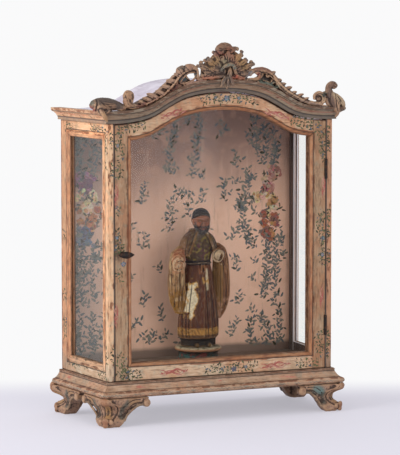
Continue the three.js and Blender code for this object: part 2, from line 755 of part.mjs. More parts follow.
// The room of the cornice and of all below it, which every crest piece is cut from.
function crestFloor(half) {
  const front = yFront - corniceReach - gap;
  return loft(stations(half, 40).map((x) => {
    const foot = crestFoot(x);
    return [
      vec(x, front, foot - 60), vec(x, yFront + 20, foot - 60), vec(x, yFront + 20, foot),
      vec(x, front, foot),
    ];
  }));
}

// A leaf: a lens-shaped blade along a smooth line in the plane of the crest.
// stops are [x, z, half width]; bulge is how far its middle stands forward.
function leaf(stops, y, thickness, bulge = 3, steps = 7) {
  const curve = new THREE.CatmullRomCurve3(stops.map(([x, z]) => vec(x, 0, z)), false, 'centripetal');
  return loft(Array.from({ length: steps + 1 }, (_, i) => {
    const t = i / steps;
    const at = curve.getPoint(t);
    const along = curve.getTangent(t);
    const across = vec(-along.z, 0, along.x);
    const place1 = t * (stops.length - 1);
    const low = Math.min(Math.floor(place1), stops.length - 2);
    const half = THREE.MathUtils.lerp(stops[low][2], stops[low + 1][2], place1 - low);
    const spot = (share, depth) => at.clone().addScaledVector(across, half * share).setY(y - depth);
    return [
      spot(-1, thickness * 0.4), spot(-0.5, thickness * 0.7), spot(0, thickness * 0.4 + bulge),
      spot(0.5, thickness * 0.7), spot(1, thickness * 0.4), spot(1, 0), spot(-1, 0),
    ];
  }));
}

// The foliate band: a plate that rises along the arch, with a raised ribbon along its middle.
// edge is its smooth upper line, [x, rise] from the outer end to the inner one, on the left side.
function band(edge) {
  const line = edge.map(([x, rise]) => vec(crestX(x), 0, crestZ(x, rise)));
  const curve = new THREE.CatmullRomCurve3(line, false, 'centripetal');
  return loft(Array.from({ length: 13 }, (_, i) => {
    const { x, z: top } = curve.getPoint(i / 12);
    const foot = crestFoot(x);
    const rise = top - foot;
    const level = (share) => foot + rise * share;
    return [
      vec(x, crestBack, foot), vec(x, crestBack, top), vec(x, crestBack - 5, top), vec(
        x, crestBack - 9, level(0.84),
      ),
      vec(x, crestBack - 7, level(0.62)), vec(x, crestBack - 12.5, level(0.53)), vec(
        x, crestBack - 12.5, level(0.42),
      ),
      vec(x, crestBack - 6, level(0.32)), vec(x, crestBack - 6, level(0.12)), vec(x, crestBack - 9, foot),
    ];
  }));
}

// Leaf tips along the band's upper edge: each is [x, rise] of its tip, [x, rise] of its foot and its half width.
function tooth([tipX, tipRise, footX, footRise, half]) {
  const [foot, tip] = [
    vec(crestX(footX), 0, crestZ(footX, footRise)), vec(crestX(tipX), 0, crestZ(tipX, tipRise)),
  ];
  const middle = foot.clone().lerp(tip, 0.5).add(vec(-1, 0, 1));
  const stops = [[foot.x, foot.z, half], [middle.x, middle.z, half * 0.95], [tip.x, tip.z, 0.8]];
  return leaf(stops, crestBack - 1, 8, 2.5, 2);
}

const leftEdge = [
  [-200, 5.4], [-178, 7.8], [-158, 10.7], [-138, 11.3], [-120, 13.1], [-104, 19.7], [-90, 27.4],
  [-76, 29.7], [-60, 24.9],
];
const leftTeeth = [
  [-178, 15.8, -166, 6.7, 5], [-165, 19, -151, 7.5, 5.5], [-157, 23.9, -139, 8.8, 6],
  [-140, 22.4, -126, 8.5, 6], [-128, 24.6, -112, 10.9, 6], [-119, 28.6, -99, 15.2, 7],
];
const rightEdge = [
  [-200, 4.9], [-178, 6.8], [-160, 9.3], [-140, 10.4], [-122, 11.2], [-106, 17.8], [-94, 23.1],
  [-80, 24.9], [-62, 17.4],
];
const rightTeeth = [
  [-173, 15.1, -161, 5.5, 4.5], [-161, 20.5, -149, 8.6, 5], [-146, 19.4, -134, 6.1, 5.5],
  [-137, 23.7, -121, 6.7, 6], [-128, 24.6, -112, 11.9, 6], [-116, 25, -100, 14.7, 6.5],
  [-103, 32.2, -90, 19.4, 6],
];

// The inner end of a band rolls over into a scroll round a hollow. lift moves it up as a whole.
function bandScroll(lift) {
  return [
    crestStem([[-150, crestFront + 3, 6.1, 2.4], [-114, crestFront + 2, 8, 3], [
      -94, crestFront + 1, lift + 22.1, 3.6,
    ],
      [-80, crestFront + 1, lift + 31.9, 4.6], [-67, crestFront + 1, lift + 32.5, 5], [
        -56, crestFront + 2, lift + 23.3, 4.4,
      ],
      [-57, crestFront + 4, lift + 11.4, 3]], 12, 6),
    crestStem([[-62, crestMid, lift + 31.4, 6], [-55, crestMid, lift + 23.1, 6.5], [
      -54, crestMid, lift + 12.9, 5.5,
    ],
      [-50, crestMid, lift + 5.2, 5], [-40, crestMid, 7.9, 4.5], [-26, crestMid, 3.9, 4.5]], 8, 7),
    crestBall(-87, crestBack - 5, lift + 31.1, 9, 6, 8.5, 8),
    crestBall(-73, crestBack - 5, lift + 29.8, 9, 6, 7.5, 8),
  ];
}

function hollow(lift) {
  return crestStem([[-86, crestFront - 1, lift + 5.7, 3], [-77, crestFront - 2, lift + 15, 7.5],
    [-66, crestFront - 1, lift + 17.3, 7], [-63, crestFront - 1, lift + 9.6, 3]], 8, 10);
}

const rightLift = -8; // the right band's scroll is this much lower than the left one's

function buildBands() {
  const floor = crestFloor(halfFront);
  const curl = [
    crestBall(-191, crestMid, 24.3, 10.5, 8, 13, 10),
    crestStem([[-184, crestMid, 23.5, 6], [-183, crestMid, 13.4, 6], [-172, crestMid, 6.5, 5]], 6),
    crestStem([[-197, crestMid, 18.7, 5], [-193, crestMid, 10.4, 5.5], [-184, crestMid, 5.5, 5]], 5),
  ];
  const leftBand = joined(
    cut(band(leftEdge), hollow(0)), ...leftTeeth.map(tooth), ...bandScroll(0), ...curl
  );
  const volute = [
    crestStem([[-172, crestMid, 8, 5], [-184, crestMid, 8, 5.5], [-195, crestMid, 11.1, 5.5], [
      -199.5, crestMid, 18.9, 5,
    ],
      [-194, crestMid, 25, 5], [-185, crestMid, 22.6, 4.5], [-184, crestMid, 16.5, 3.5]], 12, 7),
    crestLeaf(
      [[-196, 14.6, 4], [-203, 23.1, 5], [-208, 25.2, 4.5], [-209.5, 19.3, 1.5]], crestMid + 4, 7, 2,
    ),
  ];
  const rightBand = joined(
    cut(band(rightEdge), hollow(rightLift)), ...rightTeeth.map(tooth), ...bandScroll(rightLift), ...volute,
  );
  const end = slice(-halfFront - 75, gap - cornerStart);
  place('crest_left_scroll', largest(cut(leftBand, floor, end)), materials.carving);
  place('crest_right_scroll', mirrored(largest(cut(rightBand, floor, end))), materials.carving);
}

// The palmette: a backing plate in its outline, with broad ribbed leaves that spread from its heart.
// Its points are [x, height above the cornice's top at the middle].
const shellZ = (rise) => crestFoot(0) + rise;
const shellStem = (stops, ...rest) => stem(
  stops.map(([x, y, rise, radius]) => [crestX(x), y, shellZ(rise), radius]), ...rest
);
const shellLeaf = (stops, ...rest) => leaf(
  stops.map(([x, rise, half]) => [crestX(x), shellZ(rise), half]), ...rest
);
const shellOutline = [
  [-24, 1.9], [-40, 6.4], [-45, 12.4], [-39, 17.4], [-52, 21.4], [-58.5, 26.4], [-50, 31.4],
  [-41, 33.4], [-37, 39.4],
  [-27, 37.4], [-24, 44.4], [-25, 51.4], [-15, 53.4], [-8, 59.4], [12, 59.4], [22, 53.4], [34, 51.4],
  [33, 43.4],
  [34, 38.4], [44, 33.4], [59, 28.4], [52, 21.4], [49, 15.4], [45, 7.4], [36, 1.9],
];

function buildShell() {
  const heart = [0, 12.4];
  const lobe = (tipX, tipRise, width, bend = 0) => {
    const [x, rise] = heart;
    const middle = [x + (tipX - x) * 0.6, rise + (tipRise - rise) * 0.6 + bend];
    return shellLeaf([[x, rise, width * 0.4], [...middle, width], [tipX, tipRise, 0.8]], crestMid, 7, 5, 4);
  };
  const lobes = [
    lobe(-59, 26.9, 6.5, 1), lobe(-39, 39.9, 7.5), lobe(-25.5, 52.4, 7), lobe(35.5, 52.4, 8), lobe(44, 38.4, 6),
    lobe(60.5, 28.4, 7, 1), lobe(45, 6.9, 6.5), lobe(-44, 11.4, 6.5), lobe(5, 55.4, 10),
  ];
  const fan = plate(shellOutline.map(([x, rise]) => [crestX(x), shellZ(rise)]), crestMid - 3, crestMid + 4);
  const crown = joined(
    shellStem([[-18, crestMid - 2, 48.4, 5], [-15, crestMid - 3, 55.4, 8], [-6, crestMid - 4, 58.9, 8.5], [
      6, crestMid - 4, 58.9, 8,
    ],
      [16, crestMid - 2, 55.4, 6.5], [24, crestMid, 52.4, 4]], 9, 9),
    shellStem(
      [[-16, crestMid - 5, 49.4, 4.5], [-10, crestMid - 7, 44.4, 3.5], [-5, crestMid - 6, 48.4, 2]], 6,
    ),
  );
  const rib = shellStem([[-7, crestFront + 1, 16.4, 2], [0, crestFront - 2, 24.4, 3.4], [
    8, crestFront - 2, 26.9, 3.8,
  ],
    [15, crestFront - 2, 21.4, 3.8], [18, crestFront - 1, 11.4, 3.6], [26, crestFront + 1, 4.9, 3.2],
      [40, crestFront + 4, 1.4, 2.4]], 13, 6);
  const drop = shellStem(
    [
      [8, crestFront + 2, 22.4, 1.5], [8, crestFront - 1, 14.4, 4.5], [7, crestFront - 1, 5.4, 5],
      [7, crestFront + 1, 0.9, 3],
    ],
    5, 7,
  );
  const apron = yFront - corniceReach - gap;
  const trail = [-1, 0, 1].map((way) => shellLeaf(
    [[2 + way * 5, 3.4, 4.5], [1 + way * 9, -6.6, 5], [way * 13 - 1, -18.6 + Math.abs(way) * 5, 1.5]], apron, 4, 3, 4,
  ));
  const bridge = plate(
    [[-14, -2.6], [-14, 6.4], [17, 6.4], [17, -2.6]].map(([x, rise]) => [crestX(x), shellZ(rise)]),
    apron - 2, crestMid,
  );
  const slit = box(crestX(-8.6), crestX(-6.8), crestFront - 20, crestBack + 20, shellZ(38.9), shellZ(46.9));
  const scrolls = [...roomOf('crest_left_scroll', 1), ...roomOf('crest_right_scroll', -1)];
  const shell = cut(
    joined(fan, ...lobes, crown, rib, drop, bridge, ...trail), crestFloor(60 * spread), slit, ...scrolls
  );
  place('crest_shell', largest(shell), materials.carving);
}

// The largest of the bodies that a cut has left.
function largest(geometry) {
  const bodies = solid(geometry).decompose();
  bodies.sort((a, b) => b.volume() - a.volume());
  return geometryOf(bodies[0]);
}

// Corner rolls: stops are [out from the front's corner, forward, height above the cornice, radius].
function cornerStem(side, stops, ...rest) {
  const top = corniceZ + corniceHeight + gap;
  return stem(
    stops.map(([out, forward, rise, radius]) => [
      side * (halfFront + out), yFront - forward, top + rise, radius,
    ]),
    ...rest
  );
}

function buildCorners() {
  const top = corniceZ + corniceHeight + gap;
  const block = (side) => {
    const [x0, x1] = [side * (halfFront - 45), side * (halfFront + 75)].sort((a, b) => a - b);
    return joined(
      box(x0, x1, yFront - corniceReach - gap, yFront + 60, top - 60, top),
      box(x0, x1, yFront - 8, yFront + 60, top - 60, top),
    );
  };
  const leftRoll = joined(
    cornerStem(-1, [[39, 1, 9.7, 6], [33, 2, 10.7, 10.5], [22, 6, 11.7, 13.2], [7, 9, 12.7, 12.8],
      [-9, 11, 10.2, 9.5], [-27, 12, 5.7, 4.5]], 9, 10),
    cornerStem(-1, [[25, 15, 8.7, 5], [15, 18, 8.7, 6], [7, 19, 3.7, 5], [12, 20, -1.3, 3.5]], 6, 7),
    cornerStem(-1, [[21, 14, 6.7, 5], [19, 21.5, -0.3, 5], [15, 23, -9.3, 4], [9, 19, -18.3, 2.4]], 6, 7),
  );
  const rightScroll = joined(
    cornerStem(1, [[-2, 19, -19.3, 2.4], [1, 22, -10.3, 4], [-1, 15, 2.7, 11], [-6, 11, 14.7, 13], [-12, 11, 26.7, 8],
      [-13, 11, 36.7, 6.5], [-7, 12, 42.7, 6.5], [0, 13, 40.2, 5.5], [0, 14, 35.7, 3.5]], 15, 9),
    cornerStem(1, [[1, 10, 12.7, 8], [9, 10, 8.7, 9], [13, 11, 1.7, 8]], 5, 8),
  );
  const floor = crestFloor(halfFront);
  const left = cut(leftRoll, floor, block(-1), cornerMoulding(-1), slice(-cornerStart, 0));
  const right = cut(rightScroll, floor, block(1), cornerMoulding(1), slice(0, cornerStart));
  place('crest_corner_left', largest(left), materials.carving);
  place('crest_corner_right', largest(right), materials.carving);
}

// The cornice's corner, a little larger all round, to cut what hangs over it.
function cornerMoulding(side) {
  const grown = corniceProfile.map(([out, up]) => [
    out > 1 ? out + gap : -30, corniceZ + up + (up > corniceHeight * 0.9 ? gap : 0),
  ]);
  const along = loft([
    grown.map(([out, z]) => frontCorner(out, z)), grown.map(([out, z]) => backCorner(out, z)),
  ]);
  const across = loft([
    grown.map(([out, z]) => frontCorner(out, z)), grown.map(([out, z]) => vec(
      -halfFront + 55, yFront - out, z,
    )),
  ]);
  const corner = joined(along, across);
  return side < 0 ? corner : mirrored(corner);
}

// Cutters for a piece that meets a scroll: the scroll itself, and moved a gap up and to one side.
function roomOf(name, side) {
  const { geometry } = shrine.getObjectByName(name);
  return [geometry, geometry.clone().translate(0, 0, gap), geometry.clone().translate(side * gap, 0, 0)];
}

// Figurine: rings at rising heights, as [share of the height, half width, half depth, fold depth].
const robeLevels = [
  [0, 35, 27, 0.5], [0.06, 37, 29, 1.2], [0.065, 39.5, 30, 1.6], [0.12, 42.5, 31.5, 2.4], [0.28, 38, 28.5, 2.2],
  [0.42, 31.5, 25, 1.8], [0.53, 27, 22, 1.2], [0.6, 23.5, 19.5, 0.4], [0.63, 24, 20, 0.4], [0.7, 27.5, 20.5, 0.3],
  [0.76, 29, 19.5, 0], [0.81, 20, 15.5, 0], [0.835, 11.5, 11.5, 0],
];
const foldCount = 10;
const figureFoot = floorThickness + plinthHeight + gap;
const figureZ = (share) => figureFoot + gap + share * figureHeight;

function buildRobe() {
  const sides = foldCount * 4;
  return loft(robeLevels.map(([share, wide, deep, fold]) => Array.from({ length: sides }, (_, k) => {
    const angle = (2 * Math.PI * k) / sides;
    const wave = 1 + (fold / wide) * Math.cos(foldCount * angle);
    return vec(wide * wave * Math.cos(angle), figureY + deep * wave * Math.sin(angle), figureZ(share));
  })));
}

// Head: a smooth egg with a neck, a cap of hair, a nose and a short beard.
function buildHead() {
  const neckZ = figureZ(0.835) + gap;
  const centre = figureZ(0.91);
  const at = (x, y, z) => vec(headX + x, figureY - headForward + y, centre + z);
  const skull = ball(at(0, 0, 0), 16.5, 18, 22, 14);
  const neck = rod(vec(0, figureY, neckZ), at(0, 1, -8), 9.6, 14, 9);
  const hair = ball(at(0, 2.2, 3.4), 18.6, 18.6, 20.6, 14);
  const face = rod(at(0, -30, -2.5), at(0, -4, -2.5), 12.5, 18, 13.5);
  const belowHair = box(
    headX - 25, headX + 25, figureY - headForward - 30, figureY - headForward - 3, centre - 30, centre - 6,
  );
  const fringe = cut(hair, face, belowHair);
  const nose = rod(at(0, -17, 2), at(0, -19.6, -5.5), 1.2, 8, 2.4);
  const beard = ball(at(0, -8.5, -15.5), 10, 9, 9.5, 10);
  const ear = (side) => ball(at(side * 16.2, 1, -3), 2.2, 3.4, 5, 6);
  return joined(skull, neck, fringe, nose, beard, ear(-1), ear(1));
}

// Shoulder cape: a collar open at the front, over the robe's shoulders.
function buildCape() {
  const levels = [
    [0.842, 13.5, 13.5], [0.825, 20, 17], [0.79, 30, 22], [0.74, 36, 25], [0.69, 39, 26.5], [0.655, 39, 26],
  ];
  const wall1 = 4;
  const opening = 0.62; // half of the open angle at the front, in radians
  const count = 14;
  const ring = ([share, wide, deep]) => {
    const widen = opening * (0.35 + (0.842 - share) * 4.2);
    const outline = (shrink) => Array.from({ length: count + 1 }, (_, k) => {
      const angle = -Math.PI / 2 + widen + ((2 * Math.PI - 2 * widen) * k) / count;
      return vec(
        (wide - shrink) * Math.cos(angle), figureY + (deep - shrink) * Math.sin(angle), figureZ(share),
      );
    });
    return [...outline(0), ...outline(wall1).reverse()];
  };
  return loft(levels.map(ring));
}

// A mantle that hangs from a raised forearm, with the sleeve's round at its top.
// levels are [share of the height, x, y before the figure, half width, half depth, fold depth];
// arm is the broken forearm that comes out of it, as stops of a stem.
function buildMantle(levels, arm) {
  const cloth = loft(levels.map(([share, x, y, wide, deep, fold]) => Array.from({ length: 20 }, (_, k) => {
    const angle = (2 * Math.PI * k) / 20;
    const wave = 1 + (fold / wide) * Math.cos(5 * angle);
    return vec(
      -x + wide * wave * Math.cos(angle), figureY - y + deep * wave * Math.sin(angle), figureZ(share),
    );
  })));
  return joined(
    cloth, stem(arm.map(([x, y, share, radius]) => [-x, figureY - y, figureZ(share), radius]), 8, 10),
  );
}

const leftMantle = [
  [0.71, 40, 3, 7, 9, 0], [0.68, 43, 5, 12, 12, 0.5], [0.62, 45, 7, 14, 13, 1], [0.55, 46, 7, 14, 12, 1.6],
  [0.46, 46, 6, 14, 11, 2], [0.38, 44.5, 5, 13, 10, 2], [0.31, 43, 4, 10, 8, 1.4], [
    0.245, 40, 3, 5, 5, 0.4,
  ],
];
const leftArm = [[36, 0, 0.7, 9], [44, 10, 0.67, 11], [49, 20, 0.63, 12], [50, 26, 0.6, 9]];
const rightMantle = [
  [0.74, 36, -2, 7, 8, 0], [0.7, 43, -1, 13, 11, 0.5], [0.62, 48, 0, 14, 12, 1], [
    0.52, 49.5, 0, 13.5, 12, 1.6,
  ],
  [0.42, 50, 0, 13, 11, 2], [0.33, 48, 0, 13, 10, 2], [0.25, 44, 0, 11, 8, 1.4], [0.185, 39, 0, 6, 5, 0.4],
];
const rightArm = [[40, 2, 0.69, 9], [38, 14, 0.67, 9.5], [33, 24, 0.66, 9], [30, 29, 0.65, 7]];

function buildPlinth() {
  const profile = [
    [0, 0], [0.93, 0], [0.93, 0.14], [0.88, 0.2], [0.84, 0.6], [0.9, 0.7], [0.97, 0.76], [1, 0.86],
    [0.97, 0.97], [0.92, 1], [0, 1],
  ];
  const points = profile.map(([radius, height]) => new THREE.Vector2(
    radius * plinthRadius, height * plinthHeight,
  ));
  const turned = new THREE.LatheGeometry(points, 36).rotateX(Math.PI / 2);
  return turned.translate(0, figureY, floorThickness + gap);
}

// Cutters a little larger than a piece that stands upright at x = 0, to leave a gap round it.
function around(geometry, y, share, lifts) {
  const grown = geometry.clone().translate(0, -y, 0).scale(1 + share, 1 + share, 1).translate(0, y, 0);
  return [geometry, grown, ...lifts.map((lift) => grown.clone().translate(0, 0, lift))];
}

function buildFigure() {
  const robe = buildRobe();
  const robeRoom = around(robe, figureY, 0.013, [gap]);
  const cape = largest(cut(buildCape(), ...robeRoom));
  const capeRoom = around(cape, figureY, 0.014, [gap, -gap]);
  const mantle = (geometry) => largest(cut(geometry, ...robeRoom, ...capeRoom));
  place('figure_plinth', buildPlinth(), materials.plinth, figure);
  place('figure_robe', robe, materials.robe, figure);
  place('figure_cape', cape, materials.mantle, figure);
  const collarRoom = around(cape, figureY, -0.02, [gap]);
  const head = largest(cut(buildHead(), ...robeRoom, ...capeRoom, ...collarRoom));
  place('figure_head', head, materials.skin, figure);
  place('figure_mantle_left', mantle(buildMantle(leftMantle, leftArm)), materials.mantle, figure);
  place(
    'figure_mantle_right', mantle(mirrored(buildMantle(rightMantle, rightArm))), materials.mantle, figure,
  );
}

buildBase();
buildFeet();
buildSides();
buildBoards();
buildCornice();
buildDoor();
buildHinges();
buildLock();
buildBands();
buildShell();
buildCorners();
buildFigure();

const bounds = new THREE.Box3().setFromObject(shrine);
shrine.position.set(0, -(bounds.min.y + bounds.max.y) / 2, -soleZ);

export default shrine;
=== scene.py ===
"""Looks of a painted shrine case: worn frame, leafy panel, carved crest and feet, painted figurine."""

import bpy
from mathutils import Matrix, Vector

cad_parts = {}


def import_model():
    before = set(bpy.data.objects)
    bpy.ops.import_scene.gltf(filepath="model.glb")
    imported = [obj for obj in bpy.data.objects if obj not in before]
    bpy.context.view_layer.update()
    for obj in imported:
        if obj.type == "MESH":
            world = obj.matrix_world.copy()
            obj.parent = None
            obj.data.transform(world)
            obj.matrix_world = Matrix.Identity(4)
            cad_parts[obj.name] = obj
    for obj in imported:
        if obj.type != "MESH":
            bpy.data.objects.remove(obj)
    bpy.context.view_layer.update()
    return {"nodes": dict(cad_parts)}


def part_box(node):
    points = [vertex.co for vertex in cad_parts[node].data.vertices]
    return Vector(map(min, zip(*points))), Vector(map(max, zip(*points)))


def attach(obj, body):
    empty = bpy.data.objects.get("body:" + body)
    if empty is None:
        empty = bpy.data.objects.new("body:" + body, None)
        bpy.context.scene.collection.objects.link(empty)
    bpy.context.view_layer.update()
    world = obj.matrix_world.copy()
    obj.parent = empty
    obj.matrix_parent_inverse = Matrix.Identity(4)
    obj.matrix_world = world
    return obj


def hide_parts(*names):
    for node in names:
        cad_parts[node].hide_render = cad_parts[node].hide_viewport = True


bl_info = {
    "name": "Painted shrine case",
    "version": (1, 0, 0),
    "blender": (4, 5, 0),
    "location": "View3D > Sidebar > Shrine case",
    "description": "Finishes and carved pieces for a glazed shrine case with a figurine",
    "category": "Object",
}

import math
import random

import bmesh
import bpy
import numpy as np
from mathutils import Matrix, Vector, noise

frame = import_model()
CAD = frame["nodes"]

# The case's own millimetres: x from the middle, y from mid depth, z from the foot of the walls.
FOOT_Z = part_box("floor_board")[0].z
FRONT_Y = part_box("door_header")[0].y
HALF_FRONT = 225.0
DEPTH = 195.0
SPLAY = math.atan2(15, DEPTH)
FACE_Y = -DEPTH / 2
PANEL_Y = 85.5
CORNICE_Z = 467.5
ARCH_RISE = 54.3
ARCH_SHARES = [(0, 1), (40, 0.952), (76.4, 0.81), (106, 0.553), (136.4, 0.245), (160, 0.105), (185, 0.035),
    (212, 0.006), (260, 0)]
GLASS_HALF = 179.565
GLASS_FOOT = 32.3
GLASS_DROP = 33.7
SIDE_OPEN = (25.7, 160.88, 29.7, 437.8)
ARCH_END = 260
SOLE_Z = -80.95
FLOOR_TOP = 12.4
CREST_Y = -107.5
CREST_FRONT = -114.5
CREST_BACK = -100.6
CAMERA_TURN = math.radians(-24.23)
BACKDROP_WHITE = (0.955, 0.955, 0.96)
# Near-white painted light: it stands for the bright view through the side glass, on the right wall's inner faces and on
# the face lining its window opening.
PAINTED_WINDOW_LIGHT = (0.93, 0.9, 0.9)


def spot(x, y, z):
    """A point of the case, in millimetres, as a place in the scene."""
    return Vector((x / 1000, FRONT_Y + (y - FACE_Y) / 1000, FOOT_Z + z / 1000))


def curve(a, b, c, d, t):
    """The smooth way from b to c at share t, where a and d are the stops before and after."""
    return 0.5 * (2 * b + (c - a) * t + (2 * a - 5 * b + 4 * c - d) * t * t + (3 * b - a - 3 * c + d) * t**3)


def arch_share(x):
    """How far up its rise the arch is at x, from 0 to 1."""
    xs = [-a for a, _ in reversed(ARCH_SHARES[1:])] + [a for a, _ in ARCH_SHARES]
    ys = [b for _, b in reversed(ARCH_SHARES[1:])] + [b for _, b in ARCH_SHARES]
    i = min(max(int(np.searchsorted(xs, x)) - 1, 0), len(xs) - 2)
    near = [ys[min(max(k, 0), len(ys) - 1)] for k in (i - 1, i, i + 1, i + 2)]
    t = min(max((x - xs[i]) / (xs[i + 1] - xs[i]), 0), 1)
    return max(0.0, curve(*near, t))


def linear(code):
    """A colour written as a hex code, in the numbers that Blender keeps. Such numbers pass as they are."""
    if not isinstance(code, str):
        return code
    parts = [int(code[i:i + 2], 16) / 255 for i in (1, 3, 5)]
    return tuple(p / 12.92 if p <= 0.04045 else ((p + 0.055) / 1.055) ** 2.4 for p in parts)


def added(name, data):
    """A new object in the scene."""
    thing = bpy.data.objects.new(name, data)
    bpy.context.scene.collection.objects.link(thing)
    return thing


# Shader expressions
class Term:
    """A socket of a material's tree that takes part in plain arithmetic."""

    def __init__(self, tree, socket=None):
        self.tree = tree
        self.socket = socket

    def node(self, kind, settings=None, sockets=None, output=0):
        """Adds a node; shader nodes go by short names. Settings are set first, then values or links of sockets."""
        made = self.tree.nodes.new(kind if "Node" in kind else "ShaderNode" + kind)
        for key, value in (settings or {}).items():
            if key == "curve":
                line = made.mapping.curves[0]
                while len(line.points) < len(value):
                    line.points.new(0.5, 0.5)
                for point, place in zip(line.points, value):
                    point.location = place
                made.mapping.update()
            else:
                setattr(made, key, value)
        for key, value in (sockets or {}).items():
            if isinstance(value, Term):
                self.tree.links.new(value.socket, made.inputs[key])
            else:
                made.inputs[key].default_value = value
        return Term(self.tree, made.outputs[output] if made.outputs else None)

    def math(self, operation, *values):
        """A math node's result over values, which are numbers or terms."""
        return self.node("Math", {"operation": operation}, dict(enumerate(values)))

    def __add__(self, other):
        return self.math("ADD", self, other)

    def __sub__(self, other):
        return self.math("SUBTRACT", self, other)

    def __rsub__(self, other):
        return self.math("SUBTRACT", other, self)

    def __mul__(self, other):
        return self.math("MULTIPLY", self, other)

    def __truediv__(self, other):
        return self.math("DIVIDE", self, other)

    def __abs__(self):
        return self.math("ABSOLUTE", self)

    __radd__ = __add__
    __rmul__ = __mul__

    def low(self, other):
        return self.math("MINIMUM", self, other)

    def high(self, other):
        return self.math("MAXIMUM", self, other)

    def ease(self, start, end):
        """0 where the value is at start, 1 where it is at end, smooth between them."""
        settings = {"interpolation_type": "SMOOTHSTEP"}
        if start > end:
            return 1 - self.node("MapRange", settings, {"Value": self, "From Min": end, "From Max": start})
        return self.node("MapRange", settings, {"Value": self, "From Min": start, "From Max": end})

    def band(self, middle, half, soft=0.5):
        """1 within half of the middle, falling to 0 over soft."""
        return abs(self - middle).ease(half + soft, half)

    def times(self, x, y, z):
        """The vector or the colour with its three parts multiplied."""
        return self.node("VectorMath", {"operation": "MULTIPLY"}, {0: self, 1: (x, y, z)})

    def toned(self, mask, red, green, blue):
        """The colour, multiplied where the mask is 1."""
        return mask.blend(self, self.times(red, green, blue))

    def noise(self, size, detail=3, rough=0.55, warp=0):
        """Cloudy noise from 0 to 1 whose clouds are about size across."""
        sockets = {"Vector": self, "Scale": 1 / size, "Detail": detail, "Roughness": rough, "Distortion": warp}
        return self.node("TexNoise", None, sockets)

    def blend(self, first, second):
        """Colour first where this value is 0, second where it is 1."""
        first, second = (c if isinstance(c, Term) else (*linear(c), 1) for c in (first, second))
        return self.node("Mix", {"data_type": "RGBA"}, {0: self, 6: first, 7: second}, 2)

    def attribute(self, name, output="Fac"):
        return self.node("Attribute", {"attribute_name": name}, None, output)

    def split(self):
        """The vector's three numbers."""
        made = self.node("SeparateXYZ", None, {0: self}).socket.node
        return [Term(self.tree, made.outputs[i]) for i in range(3)]


def begin(name):
    """A new material, and the place on the case in millimetres."""
    material = bpy.data.materials.new(name)
    material.use_nodes = True
    material.node_tree.nodes.clear()
    start = Term(material.node_tree)
    place = start.node("TexCoord", None, None, "Object")
    shift = (0, FACE_Y - FRONT_Y * 1000, -FOOT_Z * 1000)
    millimetres = place.node(
        "VectorMath", {"operation": "MULTIPLY_ADD"}, {0: place, 1: (1000, 1000, 1000), 2: shift}
    )
    return material, millimetres


def end(material, colour, roughness, height, **more):
    """Closes a material. height is in millimetres, more are further sockets."""
    root = Term(material.node_tree)
    normal = root.node("Bump", None, {"Height": height, "Distance": 0.001, "Strength": 1})
    sockets = {"Base Color": colour, "Roughness": roughness, "Normal": normal}
    sockets.update({key.replace("_", " "): value for key, value in more.items()})
    root.node("OutputMaterial", None, {"Surface": root.node("BsdfPrincipled", None, sockets)})
    return material


def dress(nodes, material):
    """Gives CAD nodes a finish."""
    for name in nodes:
        mesh = CAD[name].data
        mesh.materials.clear()
        mesh.materials.append(material)


# Worn paint
def grained(place, grain, rails, size, lying):
    """Streaky noise that follows the grain, and lies level where rails is 1."""
    streak = place.times(*grain).noise(size, 4, 0.6)
    if rails is None:
        return streak
    return streak + rails * (place.times(lying, lying, 1).noise(size, 4, 0.6) - streak)


def worn_paint(place, tints, grain, wear, grime, bead=None, patch=0.5, rails=None):
    """Old paint on wood: colour, roughness and height.

    grain is the (x, y, z) stretch of the brush marks, wear adds to the chance of bare ground,
    grime is where dirt lies, bead is where the moulding has rubbed through to orange wood, patch
    is the share of worn patches, and rails is where the marks lie level.
    """
    broad = place.noise(70, 3, 0.6)
    mottle = place.noise(14, 4, 0.6)
    fine = place.noise(2.6, 3, 0.6)
    streak = grained(place, grain, rails, 3.2, 0.16)
    scratch = grained(place, grain, rails, 1.3, 0.08)
    speck = place.noise(1.6, 2, 0.5)
    colour = broad.ease(0.35, 0.65).blend(tints["paint"], tints["paint_warm"])
    colour = mottle.ease(0.5, 0.66).blend(colour, tints["paint_grey"])
    colour = (streak.ease(0.52, 0.68) * 0.75).blend(colour, tints["paint_dark"])
    colour = (streak.ease(0.47, 0.32) * 0.7).blend(colour, tints["paint_light"])
    worn = (mottle * 0.55 + streak * 0.45 + wear * 0.34).ease(0.66 - patch * 0.06, 0.72 - patch * 0.06)
    under = streak.ease(0.42, 0.6).blend(tints["bare"], tints["bare_dark"])
    if bead is not None:
        rubbed = (bead * 0.9).low(1) * (mottle * 0.7 + fine * 0.5).ease(0.36, 0.62)
        colour = (rubbed * 0.9).blend(colour, streak.ease(0.42, 0.64).blend(tints["bead"], tints["bead_dark"]))
    colour = (worn * 0.85).blend(colour, under)
    smudge = place.times(1, 1, 0.6).noise(26, 4, 0.66).ease(0.5, 0.66) * 0.55
    colour = colour.toned(smudge, 0.66, 0.6, 0.54)
    cracks = (scratch.ease(0.6, 0.68) * (0.35 + mottle * 0.7)).low(1)
    colour = (cracks * 0.7).blend(colour, tints["bare_dark"])
    dirt = (grime * 1.25 * (0.35 + fine * 1.1)).low(1)
    colour = (dirt * 0.92).blend(colour, tints["grime"])
    dots = speck.ease(0.69, 0.75) * broad.ease(0.3, 0.6) * 0.6
    colour = dots.blend(colour, tints["grime"])
    height = worn * -0.12 + streak * 0.12 + fine * 0.08 - dirt * 0.12 - cracks * 0.1
    return colour, 0.58 + worn * 0.16 + fine * 0.16, height


